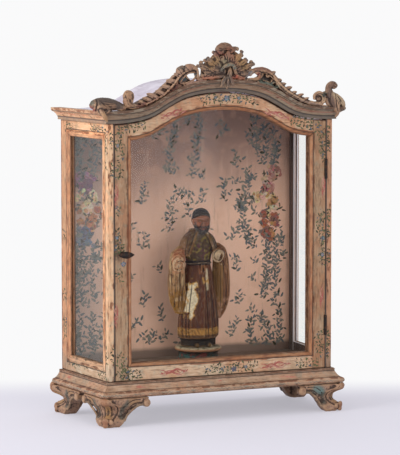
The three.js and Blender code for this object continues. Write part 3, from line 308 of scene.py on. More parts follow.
def front_distance(place):
    """How far a point of the front is outside the door's glass, its x and z, and the arch's height over it."""
    x, _, z = place.split()
    stops = (0, 20, 40, 58, 76.4, 91, 106, 121, 136.4, 148, 160, 185, 212, ARCH_END)
    shape = {"curve": [(a / ARCH_END, arch_share(a)) for a in stops]}
    share = x.node("FloatCurve", shape, {"Value": abs(x) / ARCH_END})
    arch = share * ARCH_RISE + CORNICE_Z
    away = (abs(x) - GLASS_HALF).high(GLASS_FOOT - z).high(z - (arch - GLASS_DROP))
    return away, x, z, arch


class ShrineColours(bpy.types.PropertyGroup):
    """Colours of the paints and finishes."""

    def colour(name, description, code):
        return bpy.props.FloatVectorProperty(
            name=name, description=description, subtype="COLOR", size=3, min=0, max=1, default=linear(code)
        )

    paint: colour("Paint", "Cream ground of the frame", "#cfae8a")
    paint_warm: colour("Warm paint", "Peach patches in the ground", "#d4a67f")
    paint_grey: colour("Grey paint", "Greenish grey patches in the ground", "#b9a487")
    paint_dark: colour("Dark streaks", "Brush marks that hold dirt", "#977355")
    paint_light: colour("Light streaks", "Rubbed high places", "#e2c8a8")
    bare: colour("Bare ground", "What shows where paint is worn off", "#a56a45")
    bare_dark: colour("Bare wood", "Darker streaks of the bare wood", "#6b4029")
    bead: colour("Bead", "Rubbed orange of the beads", "#dc9560")
    bead_dark: colour("Dark bead", "Darker streaks on the beads", "#7f4c31")
    grime: colour("Grime", "Dirt in the corners and lines", "#33221a")
    panel: colour("Panel", "Dusty rose of the back panel", "#dcb299")
    # Painted shade laid over the top and the left of the back panel.
    panel_dark: colour("Panel shade", "Darkened part of the back panel", "#86695d")
    leaf: colour("Leaf", "Slate blue of the leaf sprays", "#596062")
    leaf_grey: colour("Grey leaf", "Paler grey green of the leaf sprays", "#7a7669")
    leaf_dark: colour("Dark leaf", "Olive black of the frame's leaves", "#33331f")
    leaf_green: colour("Green leaf", "Grey green of the frame's leaves", "#565a38")
    red: colour("Red", "Ribbons and buds", "#b4564d")
    blue: colour("Blue", "Small flowers", "#4a5661")
    carving: colour("Carving", "Brown of the carved wood", "#6c5342")
    carving_dark: colour("Dark carving", "Darker stain of the carved wood", "#4b372b")
    ochre: colour("Ochre", "Worn high places of the carving", "#a98566")
    verdigris: colour("Green blue", "Paint left in the hollows", "#4f615a")
    robe: colour("Robe", "Purple brown of the robe", "#502716")
    gold: colour("Gold", "Worn gold of hems and edges", "#b98a48")
    cream: colour("Cream", "Flaked gesso", "#d8bd98")
    skin: colour("Skin", "Face and neck", "#875742")


class ShrineSizes(bpy.types.PropertyGroup):
    """Sizes of the carved and painted detail."""

    def length(name, description, default, low, high, precision):
        return bpy.props.FloatProperty(
            name=name, description=description, default=default, min=low, max=high, unit="LENGTH", precision=precision
        )

    voxel: length("Carving grain", "Finest detail of the carved pieces", 0.00085, 0.0004, 0.004, 5)
    figure_voxel: length("Figure grain", "Finest detail of the figurine's head", 0.0006, 0.0003, 0.004, 5)
    leaf_length: length("Leaf length", "Length of a painted leaf on the back panel", 0.0095, 0.002, 0.03, 4)
    leaf_pitch: length("Leaf spacing", "Distance between leaves along a stem", 0.0042, 0.002, 0.05, 4)
    paint_lift: length("Paint thickness", "How far brush strokes stand above the surface", 0.00006, 0.00001, 0.001, 6)
    fold_count: bpy.props.IntProperty(
        name="Robe folds", description="Folds round the robe's skirt", default=15, min=5, max=40,
    )
    key_power: bpy.props.FloatProperty(
        name="Key light", description="Power of the large lamp on the left", default=36, min=0, max=500, unit="POWER",
    )


def tints(context):
    """The colours by name."""
    group = context.scene.shrine_colours
    return {name: tuple(getattr(group, name)) for name in ShrineColours.__annotations__}


def toned(colours, red, green, blue):
    """The paints of the frame with their red, green and blue multiplied. The frame paint uses this for painted light: a
    darker, shaded copy of the paint on the front and a lighter, lit copy on the sides.
    """
    names = ("paint", "paint_warm", "paint_grey", "paint_dark", "paint_light", "bare", "bead")
    return {**colours, **{n: tuple(c * k for c, k in zip(colours[n], (red, green, blue))) for n in names}}


# Finishes of the CAD nodes
def front_finish(colours):
    """The door and the front of the frame."""
    material, place = begin("worn_front_paint")
    away, x, z, arch = front_distance(place)
    _, y, _ = place.split()
    bead = away.band(3.4, 3.2, 0.5)
    along = place.noise(9, 2)
    line = away.band(7.1, 0.5, 0.6) * (0.5 + along * 0.7)
    inner = away.ease(1.2, 0) * 0.8
    over = (GLASS_FOOT - z).high(z - (arch - GLASS_DROP)) - (abs(x) - GLASS_HALF)
    rails = abs(x).ease(188, 184) * over.ease(-0.5, 0.5)
    rub = away.band(8.6, 0.9, 1.2) * grained(place, (1, 1, 0.15), rails, 6, 0.15).ease(0.45, 0.6)
    outer = abs(x).ease(209.8, 212.6) * abs(x).ease(214.4, 213)
    joint = abs(abs(x) - 212.5).ease(1.6, 0.3)
    foot = z.ease(3, 0.6) * z.ease(-6, -1)
    crown = (arch - z).ease(5.5, 2.6)
    seam = abs(abs(x) - 186.4).ease(0.9, 0.2) * (z.ease(29, 25) + z.ease(434, 440)).low(1) * 0.25
    grime = (line + inner * 0.5 + joint + foot * 0.7 + crown * 0.75 + seam).low(1)
    inside = y.ease(FACE_Y + 3, FACE_Y + 6) * 0.5
    wear = outer * 0.8 + rub + crown * 0.6 + foot * 0.5 + inside
    colour, rough, height = worn_paint(place, colours, (1, 1, 0.16), wear, grime, bead, 0.4, rails)
    colour = colour.toned(rails * (1 - bead), 1.42, 1.42, 1.46)
    colour = colour.toned(rails * z.ease(60, 34), 1.06, 1.18, 1.3)
    colour = colour.toned(rails * bead, 0.86, 0.82, 0.78)
    knob = abs(x + 207).ease(11, 3) * abs(z - 238).ease(30, 6) * place.noise(6, 3, 0.6).ease(0.36, 0.6)
    colour = (knob * 0.75).blend(colour, colours["grime"])
    drip = abs(x + 186.5).ease(6, 1.5) * z.ease(165, 215) * z.ease(300, 262)
    drip = drip * place.times(1, 1, 0.2).noise(5, 3, 0.6).ease(0.36, 0.56)
    colour = (drip * 0.8).blend(colour, "#6e381b")
    foxed = (place.noise(38, 3, 0.6) + x.ease(150, 215) * 0.12).ease(0.5, 0.66) * 0.6
    colour = colour.toned(foxed, 0.86, 0.66, 0.52)
    return end(material, colour, rough, height)


def side_finish(colours):
    """The two glazed side walls. Painted light makes the right wall's inner faces within the window's span, and the
    face lining its window opening, near-white; painted shade darkens the right post's front face.
    """
    material, place = begin("worn_side_paint")
    x, y, z = place.split()
    along = (y - FACE_Y) / math.cos(SPLAY)
    u0, u1, z0, z1 = SIDE_OPEN
    away = (u0 - along).high(along - u1).high(z0 - z).high(z - z1)
    bead = away.band(6.5, 6, 0.8)
    line = (away.band(13.4, 0.5, 0.7) + away.band(4.4, 0.25, 0.5) * 0.5) * (0.4 + place.noise(9, 2) * 0.8)
    facing = y.ease(FACE_Y + 1.2, FACE_Y + 0.3)
    rubbed = facing * place.times(1, 1, 0.2).noise(8, 3).ease(0.42, 0.62) * 0.5
    edge = along.ease(3, 0.4) * (1 - facing) + rubbed + along.ease(190, 195) + z.ease(3, 0.5)
    over = (z0 - z).high(z - z1) - (u0 - along).high(along - u1)
    rails = along.ease(13, 14) * along.ease(174, 173) * over.ease(-0.5, 0.5)
    rub = away.band(9, 1.6, 1.6) * grained(place, (1, 1, 0.2), rails, 7, 0.2).ease(0.42, 0.6)
    grime = (line + away.ease(1, 0) * 0.6 + z.ease(464, 467.5) * 0.6 + z.ease(1.6, 0.2)).low(1)
    wear = edge * 0.8 + rub
    colour, rough, height = worn_paint(place, colours, (1, 1, 0.16), wear, grime, bead * 0.55, 0.55, rails)
    back = along.ease(90, 190)
    colour = colour.toned(back, 0.72, 0.62, 0.58)
    colour = colour.toned(z.ease(44, 14), 0.78, 0.94, 1.1)
    colour = colour.toned(z.ease(436, 444), 1.16, 1.12, 1.1)
    # Painted shade: the front face of the right post is darkened to the door front's shaded tone.
    post = facing * x.ease(-10, 10)
    colour = colour.toned(post, 0.6, 0.5, 0.47)
    inward = HALF_FRONT + (y - FACE_Y) * math.tan(SPLAY) - abs(x)
    deep = inward.ease(9, 10.5)
    dark = place.times(1, 1, 0.1).noise(6, 4).ease(0.35, 0.65).blend("#4d423c", "#2e2522")
    # Painted light: on the right wall, the inner faces within the window's span and the face lining the window opening
    # are painted near-white, standing for the bright view through the side glass. The other inner faces are dark.
    pale = x.ease(0, 10) * along.ease(18.6, 19.6) * along.ease(162.2, 161.4) * z.ease(z0 - 1, z0)
    colour = (deep * 0.92).blend(colour, pale.blend(dark, PAINTED_WINDOW_LIGHT))
    reveal_window_light = x.ease(0, 10) * along.band(u1, 0.4, 0.4) * inward.ease(0.8, 1.6)
    colour = (reveal_window_light * 0.95).blend(colour, PAINTED_WINDOW_LIGHT)
    return end(material, colour, rough, height)


def base_finish(colours):
    """The base moulding: a dark fillet, a hollow and a round with a wavy line."""
    material, place = begin("worn_base_paint")
    x, y, z = place.split()
    left = x + y * 0.9
    fillet = z.ease(-5.6, -4.6)
    edge = z.band(-15.6, 0.5, 0.8)
    foot = z.ease(-26.4, -27.6)
    wave = (left * 0.42).math("SINE", left * 0.42)
    scallop = abs(z + 23.2 - abs(wave) * 2.4).ease(1.1, 0.35) * place.noise(20, 2).ease(0.35, 0.55)
    grime = (fillet * 0.4 + edge * 0.5 + foot * 0.5 + z.band(-4.9, 0.3, 0.5)).low(1)
    wear = z.band(-17, 1.2, 1.5) * 0.5 + z.band(-24.5, 1, 2) * 0.4 + z.band(-1.2, 0.5, 0.8) * 0.6
    colour, rough, height = worn_paint(place, colours, (0.16, 0.3, 1), wear, grime, None, 0.35)
    colour = (scallop * 0.7).blend(colour, colours["verdigris"])
    colour = colour.times(1.03, 1.05, 1.14)
    pink = z.band(-10, 1.6, 1.4) * place.times(0.25, 0.25, 1).noise(9, 3).ease(0.56, 0.68)
    colour = (pink * 0.55).blend(colour, colours["red"])
    return end(material, colour, rough, height)


def cornice_finish(colours):
    """The cornice: dark fillets with a cream and orange hollow between them. Painted light gives its sides a lighter,
    lit copy of the colour and its front a darker, shaded copy.
    """
    material, place = begin("worn_cornice_paint")
    x, y, _ = place.split()
    beside = (abs(x) - HALF_FRONT - (y - FACE_Y) * math.tan(SPLAY)) * math.cos(SPLAY)
    out = (FACE_Y - y).high(beside)
    lower = out.ease(7.4, 6.6) * out.ease(0.5, 2)
    upper = out.ease(18, 19)
    lip = out.band(14.8, 0.7, 0.8)
    slate = (lower * 0.7 + upper * 0.3).low(1)
    grime = (out.band(7, 0.3, 0.5) + out.ease(2, 0.4) * 0.9 + out.band(18.4, 0.25, 0.4) * 0.8).low(1)
    wear = lip * 0.5 + out.band(9.5, 1.5, 2) * 0.2 + out.ease(19.2, 20.2) * 0.6
    bead = out.band(12.5, 4, 1.5) * 0.1
    colour, rough, height = worn_paint(place, colours, (0.16, 0.3, 1), wear, grime, bead, 0.45)
    colour = (slate * (0.65 + place.noise(6, 3) * 0.5).low(1)).blend(colour, "#57504c")
    pink = out.band(12, 0.8, 0.9) * place.times(0.12, 0.12, 1).noise(10, 3).ease(0.45, 0.6)
    colour = (pink * 0.4).blend(colour, colours["red"])
    # Painted light: the sides get a lighter, warmer lit copy of the colour and the front a darker, shaded copy.
    ahead = (FACE_Y - y - beside).ease(-0.5, 0.5)
    colour = ahead.blend(colour.times(1.9, 1.62, 1.35), colour.times(0.76, 0.76, 0.72))
    return end(material, colour, rough, height)


def panel_finish(colours):
    """The back panel: dusty rose with brush marks, with painted shade towards the top and the left, painted light low
    down and on the right, and painted shade along its foot.
    """
    material, place = begin("rose_panel_paint")
    x, y, z = place.split()
    broad = place.noise(110, 3, 0.5)
    brush = place.times(1, 1, 0.12).noise(9, 4, 0.6)
    mottle = place.noise(22, 4, 0.6)
    fine = place.noise(2.2, 3)
    # Painted shade: darker towards the top and the left, with random broad tone; painted light lifts the lower part.
    shade = z.ease(240, 470) * 1.15 + x.ease(60, -200) * 0.35 + x.ease(150, 225) * 0.05
    shade = shade - z.ease(130, 40) * 0.15 + broad * 0.5 - 0.3
    colour = shade.low(1.25).high(0).blend(colours["panel"], colours["panel_dark"])
    warm = mottle.ease(0.48, 0.68) * 0.35
    colour = warm.blend(colour, "#c99b80")
    colour = (brush.ease(0.55, 0.72) * 0.35).blend(colour, "#d0ab96")
    colour = (brush.ease(0.44, 0.28) * 0.3).blend(colour, "#84695a")
    # Painted light: the right part of the panel is lightened.
    colour = colour.toned(x.ease(90, 170), 1.2, 1.18, 1.14)
    # Painted shade along the foot of the panel, where it meets the floor.
    stain = z.ease(34, 22) * (0.6 + mottle) * 0.85
    colour = stain.low(0.85).blend(colour, "#5e4d43")
    speck = place.noise(1.5, 2).ease(0.68, 0.74) * 0.45
    colour = speck.blend(colour, colours["grime"])
    outside = y.ease(93, 94)
    wood = place.times(1, 1, 0.06).noise(5, 5, 0.6).ease(0.35, 0.65).blend("#8a6a4c", "#5d4431")
    colour = outside.blend(colour, wood)
    return end(material, colour, 0.62 + fine * 0.2, brush * 0.12 + fine * 0.06)


def bare_wood_finish(name, light, dark, grain, size=6):
    """Plain old board with its grain."""
    material, place = begin(name)
    figure = place.times(*grain).noise(size, 5, 0.62, 0.3)
    pores = place.times(*grain).noise(1.1, 3, 0.6)
    dust = place.noise(35, 3, 0.6)
    colour = figure.ease(0.32, 0.68).blend(light, dark)
    colour = (pores.ease(0.56, 0.7) * 0.5).blend(colour, tuple(c * 0.45 for c in linear(dark)))
    colour = (dust.ease(0.5, 0.72) * 0.35).blend(colour, "#a89a8c")
    return end(material, colour, 0.7 + pores * 0.2, figure * 0.15 + pores * 0.12)


def roof_finish():
    """The roof: thin pale lavender distemper, dusty and streaked."""
    material, place = begin("pale_roof_paint")
    cloud = place.noise(60, 4, 0.6)
    streak = place.times(1, 0.12, 1).noise(7, 4, 0.6)
    fine = place.noise(2, 3)
    colour = cloud.ease(0.35, 0.65).blend("#d9d2dc", "#bfb6c2")
    colour = (streak.ease(0.56, 0.7) * 0.4).blend(colour, "#9a8f92")
    colour = (fine.ease(0.66, 0.74) * 0.5).blend(colour, "#6c5d52")
    return end(material, colour, 0.75 + fine * 0.1, streak * 0.12 + fine * 0.08)


def glass_finish():
    """Thin old glass: clear, a little grey, with dust towards its edges."""
    material, place = begin("thin_old_glass")
    root = Term(material.node_tree)
    wave = place.times(1, 1, 0.5).noise(80, 2)
    normal = root.node("Bump", None, {"Height": wave, "Distance": 0.0003, "Strength": 0.2})
    clear = root.node("BsdfTransparent", None, {"Color": (0.985, 0.988, 0.982, 1)})
    shine = root.node("BsdfGlossy", None, {"Color": (1, 1, 1, 1), "Roughness": 0.03, "Normal": normal})
    share = root.node("Fresnel", None, {"IOR": 1.45, "Normal": normal})
    dust = place.noise(30, 4, 0.6).ease(0.55, 0.8) * 0.008
    haze = root.node("BsdfDiffuse", None, {"Color": (0.6, 0.57, 0.53, 1)})
    body = root.node("MixShader", None, {0: dust, 1: clear, 2: haze})
    whole = root.node("MixShader", None, {0: share * 0.1, 1: body, 2: shine})
    root.node("OutputMaterial", None, {"Surface": whole})
    return material


def iron_finish():
    """Blackened iron with rust in its pits."""
    material, place = begin("old_iron")
    rust = place.noise(5, 4, 0.65)
    pits = place.noise(0.8, 3, 0.6)
    colour = rust.ease(0.48, 0.66).blend("#231f1e", "#4d3122")
    colour = (pits.ease(0.4, 0.28) * 0.4).blend(colour, "#6f6a66")
    return end(material, colour, 0.42 + rust * 0.3, pits * 0.1 + rust * 0.08, Metallic=0.75)


# Carved shapes
def smooth(points, count):
    """A smooth curve through rows of numbers, evenly spaced along its first three."""
    p = np.array(points, float)
    padded = np.vstack([2 * p[0] - p[1], p, 2 * p[-1] - p[-2]])
    t = np.linspace(0, 1, 16, endpoint=False)[:, None]
    fine = []
    for i in range(len(p) - 1):
        fine.append(curve(*padded[i:i + 4], t))
    fine = np.vstack([*fine, p[-1:]])
    way = np.concatenate([[0], np.cumsum(np.linalg.norm(np.diff(fine[:, :3], axis=0), axis=1))])
    spots = np.linspace(0, way[-1], count)
    return np.column_stack([np.interp(spots, way, fine[:, k]) for k in range(p.shape[1])])


def circle(count):
    """Angles evenly spaced once round."""
    return np.linspace(0, 2 * math.pi, count, endpoint=False)


def unit(rows):
    """Rows brought to a length of 1."""
    return rows / np.maximum(np.linalg.norm(rows, axis=-1, keepdims=True), 1e-9)


def to_scene(rows):
    """Rows of the case's millimetres as places in the scene."""
    return np.asarray(rows) / 1000 + np.array([0, FRONT_Y - FACE_Y / 1000, FOOT_Z])


def read(rows, key, width, kind=np.float32):
    """One value of every row of mesh data, as a table."""
    flat = np.empty(len(rows) * width, kind)
    rows.foreach_get(key, flat)
    return flat.reshape(-1, width)


def write(mesh, name, kind, key, rows):
    """Adds a point attribute."""
    mesh.attributes.new(name, kind, "POINT").data.foreach_set(key, rows.astype(np.float32).ravel())


def line_distance(points, line):
    """Distance of each point to a line of straight pieces."""
    best = np.full(len(points), 1e9)
    for a, b in zip(line[:-1], line[1:]):
        way = b - a
        t = np.clip(((points - a) @ way) / max(way @ way, 1e-9), 0, 1)
        best = np.minimum(best, np.linalg.norm(points - a - t[:, None] * way, axis=1))
    return best


class Carving:
    """Closed solids, in the case's millimetres, that are melted into one body and then cut and glazed."""

    def __init__(self, shape=lambda rows: rows, stops=lambda rows: rows):
        self.points = []
        self.faces = []
        self.cuts = []
        self.glazes = []
        self.dyes = []
        self.rough = 0
        self.shape = shape
        self.stops = stops

    def rings(self, rings):
        """A closed skin over rings of as many points each."""
        base = len(self.points)
        count = len(rings[0])
        for ring in rings:
            self.points.extend(self.shape(np.array(ring, float)).tolist())
        for i in range(len(rings) - 1):
            for k in range(count):
                a, b = base + i * count + k, base + i * count + (k + 1) % count
                self.faces.append((a, b, b + count, a + count))
        last = base + (len(rings) - 1) * count
        self.faces.append(tuple(range(base + count - 1, base - 1, -1)))
        self.faces.append(tuple(range(last, last + count)))

    def roll(self, stops, *how, **more):
        """A bar along stops in the piece's own manner."""
        self.bar(self.stops(stops), *how, **more)

    def bar(self, stops, flat=1, lean=(0, 1, 0), sides=14, pitch=1.8):
        """A round bar along stops of (x, y, z, radius), flattened along lean."""
        stops = np.array(stops, float)
        length = np.linalg.norm(np.diff(stops[:, :3], axis=0), axis=1).sum()
        line = smooth(stops, max(5, int(length / pitch)))
        way = unit(np.gradient(line[:, :3], axis=0))
        across = np.cross(way, np.array(lean, float))
        across[np.linalg.norm(across, axis=1) < 0.15] = (1, 0, 0)
        across = unit(across)
        up = unit(np.cross(across, way))
        angles = circle(sides)[:, None]
        rings = []
        spans = [(0, -math.sin(a), math.cos(a)) for a in (1.4, 1.05, 0.6)]
        spans += [(i, 0, 1) for i in range(len(line))]
        spans += [(len(line) - 1, math.sin(a), math.cos(a)) for a in (0.6, 1.05, 1.4)]
        for i, along, share in spans:
            r = line[i, 3]
            middle = line[i, :3] + way[i] * along * min(r, 3.5) * 0.8
            rings.append(middle + r * share * (np.cos(angles) * across[i] + flat * np.sin(angles) * up[i]))
        self.rings(rings)

    def lump(self, centre, radii, turn=0):
        """An egg; turn leans it in the x-z plane."""
        c, s = math.cos(turn), math.sin(turn)
        rings = []
        for a in np.linspace(-1.45, 1.45, 11):
            ring = []
            for b in circle(16):
                x, y = radii[0] * math.cos(a) * math.cos(b), radii[1] * math.cos(a) * math.sin(b)
                z = radii[2] * math.sin(a)
                ring.append((centre[0] + x * c + z * s, centre[1] + y, centre[2] - x * s + z * c))
            rings.append(ring)
        self.rings(rings)

    def sheet(self, rows, back, count=90):
        """A plate whose front runs through rows of (x, y, z) lines; its back is flat at y = back."""
        grid = np.array([smooth(row, count) for row in rows])
        extra = smooth(np.arange(len(rows))[:, None] * np.ones(3), len(rows) * 5)[:, 0]
        fine = np.array([
            [np.interp(extra, np.arange(len(rows)), grid[:, j, k]) for k in range(3)] for j in range(count)
        ]).transpose(0, 2, 1)
        rings = []
        for line in fine:
            behind = line[::-1].copy()
            behind[:, 1] = back
            rings.append(np.vstack([line, behind]))
        self.rings(rings)

    def leaf(self, root, tip, width, depth, lift=4, pairs=2, body=0.5):
        """A lobed leaf seen from the front: a middle finger with pairs of side fingers."""
        root, tip = np.array(root, float), np.array(tip, float)
        axis = tip - root
        side = np.array([-axis[1], axis[0]]) / np.linalg.norm(axis)

        def at(along, out, forward, r):
            x, z = root + axis * along + side * out
            return (x, depth - forward, z, r)

        w = width
        self.bar([at(0, 0, -1, w * 0.5), at(0.45, 0, -0.5, w * 0.85), at(0.75, 0, lift * 0.4, w * 0.62),
            at(0.96, 0, lift * 0.8, w * 0.2)], 0.34)
        self.bar([at(0, 0, 0.5, w * 0.3), at(0.5, 0, 1.8, w * 0.4), at(0.82, 0, lift * 0.8, w * 0.4),
            at(0.97, 0, lift, w * 0.26)], body)
        self.cuts.append((np.array([root + axis * s for s in (0.1, 0.5, 0.95)]), 1.1, 0.62))
        for k in range(pairs):
            low, high = 0.1 + 0.26 * k, 0.6 + 0.28 * k / max(pairs - 1, 1)
            for s in (-1, 1):
                reach = w * (0.86 - 0.2 * k) * s
                self.bar([
                    at(low, 0, 0, w * 0.34), at((low + high) / 2, reach * 0.55, 1.2, w * 0.44),
                    at(high - 0.08, reach * 0.9, lift * 0.6, w * 0.38),
                    at(high, reach, lift * 0.85, w * 0.24),
                ], body)
                span = high - low
                rib = [root + axis * (low + 0.08 + span * t) + side * reach * t**0.85 for t in (0.15, 0.5, 0.9)]
                gap = [root + axis * (low + 0.3 + span * t * 0.75) + side * reach * 0.75 * t for t in (0.1, 0.5, 1)]
                self.cuts += [(np.array(rib), 0.6, 0.6), (np.array(gap), 0.9, 0.8)]

    def spiral(self, centre, start, size, turns, depth, width):
        """A cut that winds in to an eye, seen from the front."""
        t = np.linspace(0, 1, 26)
        angle = start + turns * 2 * math.pi * t
        r = size * (1 - t) ** 0.85 + 0.8 * t
        path = np.column_stack([centre[0] + r * np.cos(angle), centre[1] + r * np.sin(angle)])
        self.cuts.append((path, depth, width))

    def cut(self, line, depth, width, count=14):
        """A groove along a line of (x, z), seen from the front, or of (x, y, z)."""
        rows = np.array(line, float)
        across = rows.shape[1]
        path = smooth(np.column_stack([rows, np.zeros((len(rows), 3 - across))]), count)[:, :across]
        self.cuts.append((self.shape(path) if across == 3 else path, depth, width))

    def glaze(self, line, radius, colour, strength=1):
        """Paint within radius of a line of (x, z) or (x, y, z)."""
        self.glazes.append((np.array(line, float).reshape(len(line), -1), radius, linear(colour), strength))

    def melt(self, name, voxel, material, body, slot, *nodes):
        """Melts the solids into one body that stands for CAD nodes."""
        mesh = bpy.data.meshes.new(name + "_block")
        mesh.from_pydata(to_scene(self.points).tolist(), [], self.faces)
        block = added(name, mesh)
        remesh = block.modifiers.new("melt", "REMESH")
        remesh.mode = "VOXEL"
        remesh.voxel_size = voxel
        remesh.use_smooth_shade = True
        shape = bpy.data.meshes.new_from_object(block.evaluated_get(bpy.context.evaluated_depsgraph_get()))
        block.modifiers.clear()
        shape = largest_shell(shape, name)
        block.data = shape
        self.finish_surface(shape, voxel)
        shape.materials.clear()
        shape.materials.append(material)
        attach(block, body)
        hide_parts(*nodes)

    def finish_surface(self, shape, voxel):
        """Smooths the melted surface, cuts it, and stores its relief and its colours."""
        count = len(shape.vertices)
        place = (read(shape.vertices, "co", 3).astype(float) - to_scene(np.zeros(3))) * 1000
        a, b = read(shape.edges, "vertices", 2, np.int32).T
        near = np.maximum(np.bincount(a, minlength=count) + np.bincount(b, minlength=count), 1)[:, None]

        def soften(rows):
            total = np.column_stack([
                np.bincount(a, rows[b, k], count) + np.bincount(b, rows[a, k], count) for k in range(rows.shape[1])
            ])
            return total / near

        for _ in range(2):
            place = place + 0.55 * (soften(place) - place)
        self.store(shape, place)
        facing = self.normals(shape)
        flat = place[:, [0, 2]]
        for line, depth, width in self.cuts:
            deep = line.shape[1] == 3
            share = np.exp(-((line_distance(place if deep else flat, line) / width) ** 2))
            if not deep:
                share *= np.clip(-facing[:, 1] * 1.6, 0, 1)
            place = place - facing * (depth * share)[:, None]
        place = place + 0.25 * (soften(place) - place)
        if self.rough:
            lumps = cloud(place, 6, 1) * 1.3 + cloud(place, 2.6, 2) * 0.8
            place = place + facing * (lumps * self.rough - self.rough * 0.3)[:, None]
        place[:, 2] = np.maximum(place[:, 2], SOLE_Z)
        self.store(shape, place)
        facing = self.normals(shape)
        calm = place
        rounds = int(14 * (0.85 / (voxel * 1000)) ** 2) + 4
        for _ in range(rounds):
            calm = calm + 0.8 * (soften(calm) - calm)
        relief = np.einsum("ij,ij->i", place - calm, facing)
        write(shape, "relief", "FLOAT", "value", relief)
        paint = np.zeros((count, 4))
        for line, radius, colour, strength in self.glazes:
            path = line if len(line) > 1 else np.vstack([line, line])
            away = line_distance(place if line.shape[1] == 3 else flat, path)
            share = np.clip(1.5 - away / radius, 0, 1)[:, None] * strength
            paint[:, :3] = paint[:, :3] * (1 - share) + np.array(colour) * share
            paint[:, 3:] = paint[:, 3:] * (1 - share) + share
        for rule, colour in self.dyes:
            share = np.clip(np.asarray(rule(place), float), 0, 1)[:, None]
            paint = paint * (1 - share) + np.array([*linear(colour), 1]) * share
        whole = np.maximum(paint[:, 3:], 1e-3)
        paint[:, :3] = np.clip(paint[:, :3] / whole, 0, 1)
        write(shape, "glaze", "FLOAT_COLOR", "color", paint)
        write(shape, "glaze_share", "FLOAT", "value", paint[:, 3])

    def store(self, shape, place):
        shape.vertices.foreach_set("co", to_scene(place).astype(np.float32).ravel())
        shape.update()

    def normals(self, shape):
        return read(shape.vertices, "normal", 3).astype(float)


def each(call, *rows):
    """Makes the call once with each row of values."""
    for row in rows:
        call(*row)


def largest_shell(mesh, name):
    """The biggest connected part of a mesh, as a new smooth-shaded mesh."""
    count = len(mesh.vertices)
    a, b = read(mesh.edges, "vertices", 2, np.int32).T
    label = np.arange(count)
    while True:
        low = np.minimum(label[a], label[b])
        new = label.copy()
        np.minimum.at(new, a, low)
        np.minimum.at(new, b, low)
        new = new[new]
        if (new == label).all():
            break
        label = new
    main = np.bincount(label, minlength=count).argmax()
    bm = bmesh.new()
    bm.from_mesh(mesh)
    bm.verts.ensure_lookup_table()
    bmesh.ops.delete(bm, geom=[bm.verts[i] for i in np.nonzero(label != main)[0]], context="VERTS")
    for face in bm.faces:
        face.smooth = True
    kept = bpy.data.meshes.new(name)
    bm.to_mesh(kept)
    bm.free()
    return kept


def carving_finish(colours, name="worn_carved_wood"):
    """Brown stained carving: dark in its cuts, ochre on its worn ridges, old paint in its hollows."""
    material, place = begin(name)
    relief = place.attribute("relief")
    glaze = place.attribute("glaze", "Color")
    share = place.attribute("glaze_share")
    mottle = place.noise(9, 4, 0.62)
    fine = place.noise(2.2, 4, 0.65)
    speck = place.noise(1, 2, 0.6)
    colour = mottle.ease(0.36, 0.66).blend(colours["carving"], colours["carving_dark"])
    colour = (place.noise(4, 4, 0.66).ease(0.5, 0.64) * 0.6).blend(colour, "#2e221b")
    ridge = (relief + mottle * 0.75 + fine * 0.6).ease(0.62, 1.05)
    colour = (ridge * 0.9).blend(colour, mottle.ease(0.45, 0.7).blend(colours["ochre"], "#8a6248"))
    worn_glaze = share * (0.74 + fine * 0.5 + mottle * 0.4 - relief.high(0) * 0.7 - 0.35).ease(0.2, 0.5)
    colour = (worn_glaze * 0.92).low(1).blend(colour, glaze)
    hollow = (0 - relief * 2.6 + fine * 0.5 - 0.16).ease(0.1, 0.75)
    colour = (hollow * 0.88).blend(colour, colours["grime"])
    colour = (speck.ease(0.66, 0.74) * 0.5).blend(colour, colours["grime"])
    colour = (speck.ease(0.36, 0.28) * ridge * 0.35).blend(colour, colours["cream"])
    height = fine * 0.16 + speck * 0.06 + mottle * 0.1
    return end(material, colour, 0.46 + fine * 0.26 + hollow * 0.2, height)


def pick(stops):
    """Stops of (x, z, forward, radius) made (x, y, z, radius); forward is ahead of the crest's middle."""
    return [(x, CREST_Y - forward, z, r) for x, z, forward, r in stops]


def ahead(stops):
    """Stops of (x, forward, z, radius) made (x, y, z, radius); forward is ahead of the case's face."""
    return [(x, FACE_Y - forward, z, r) for x, forward, z, r in stops]


def raised(rows):
    """Rows of (x, deep, z), where deep is behind the crest's foremost face, made (x, y, z)."""
    return [[(x, CREST_FRONT + deep, z) for x, deep, z in row] for row in rows]


class SHRINE_OT_frame_paint(bpy.types.Operator):
    """Paint the door frame, the side walls and the header"""

    bl_idname = "shrine.frame_paint"
    bl_label = "Frame paint"

    def execute(self, context):
        colours = tints(context)
        front = [n for n in CAD if n.startswith("door_") and n != "door_glass"]
        # Painted shade: the door and the front of the frame take a darker, shaded copy of the frame's paint.
        dress(front, front_finish(toned(colours, 0.57, 0.535, 0.5)))
        sides = [n for n in CAD if n.startswith("side_") and not n.endswith("_glass")]
        # Painted light: the side walls take a lighter, lit copy of the same paint.
        dress(sides, side_finish(toned(colours, 1.08, 1, 0.94)))
        return {"FINISHED"}


class SHRINE_OT_mouldings(bpy.types.Operator):
    """Paint the base moulding and the cornice"""

    bl_idname = "shrine.mouldings"
    bl_label = "Mouldings"

    def execute(self, context):
        colours = tints(context)
        dress([n for n in CAD if n.startswith("base_moulding")], base_finish(toned(colours, 0.62, 0.57, 0.54)))
        dress([n for n in CAD if n.startswith("cornice_")], cornice_finish(toned(colours, 0.55, 0.6, 0.68)))
        return {"FINISHED"}


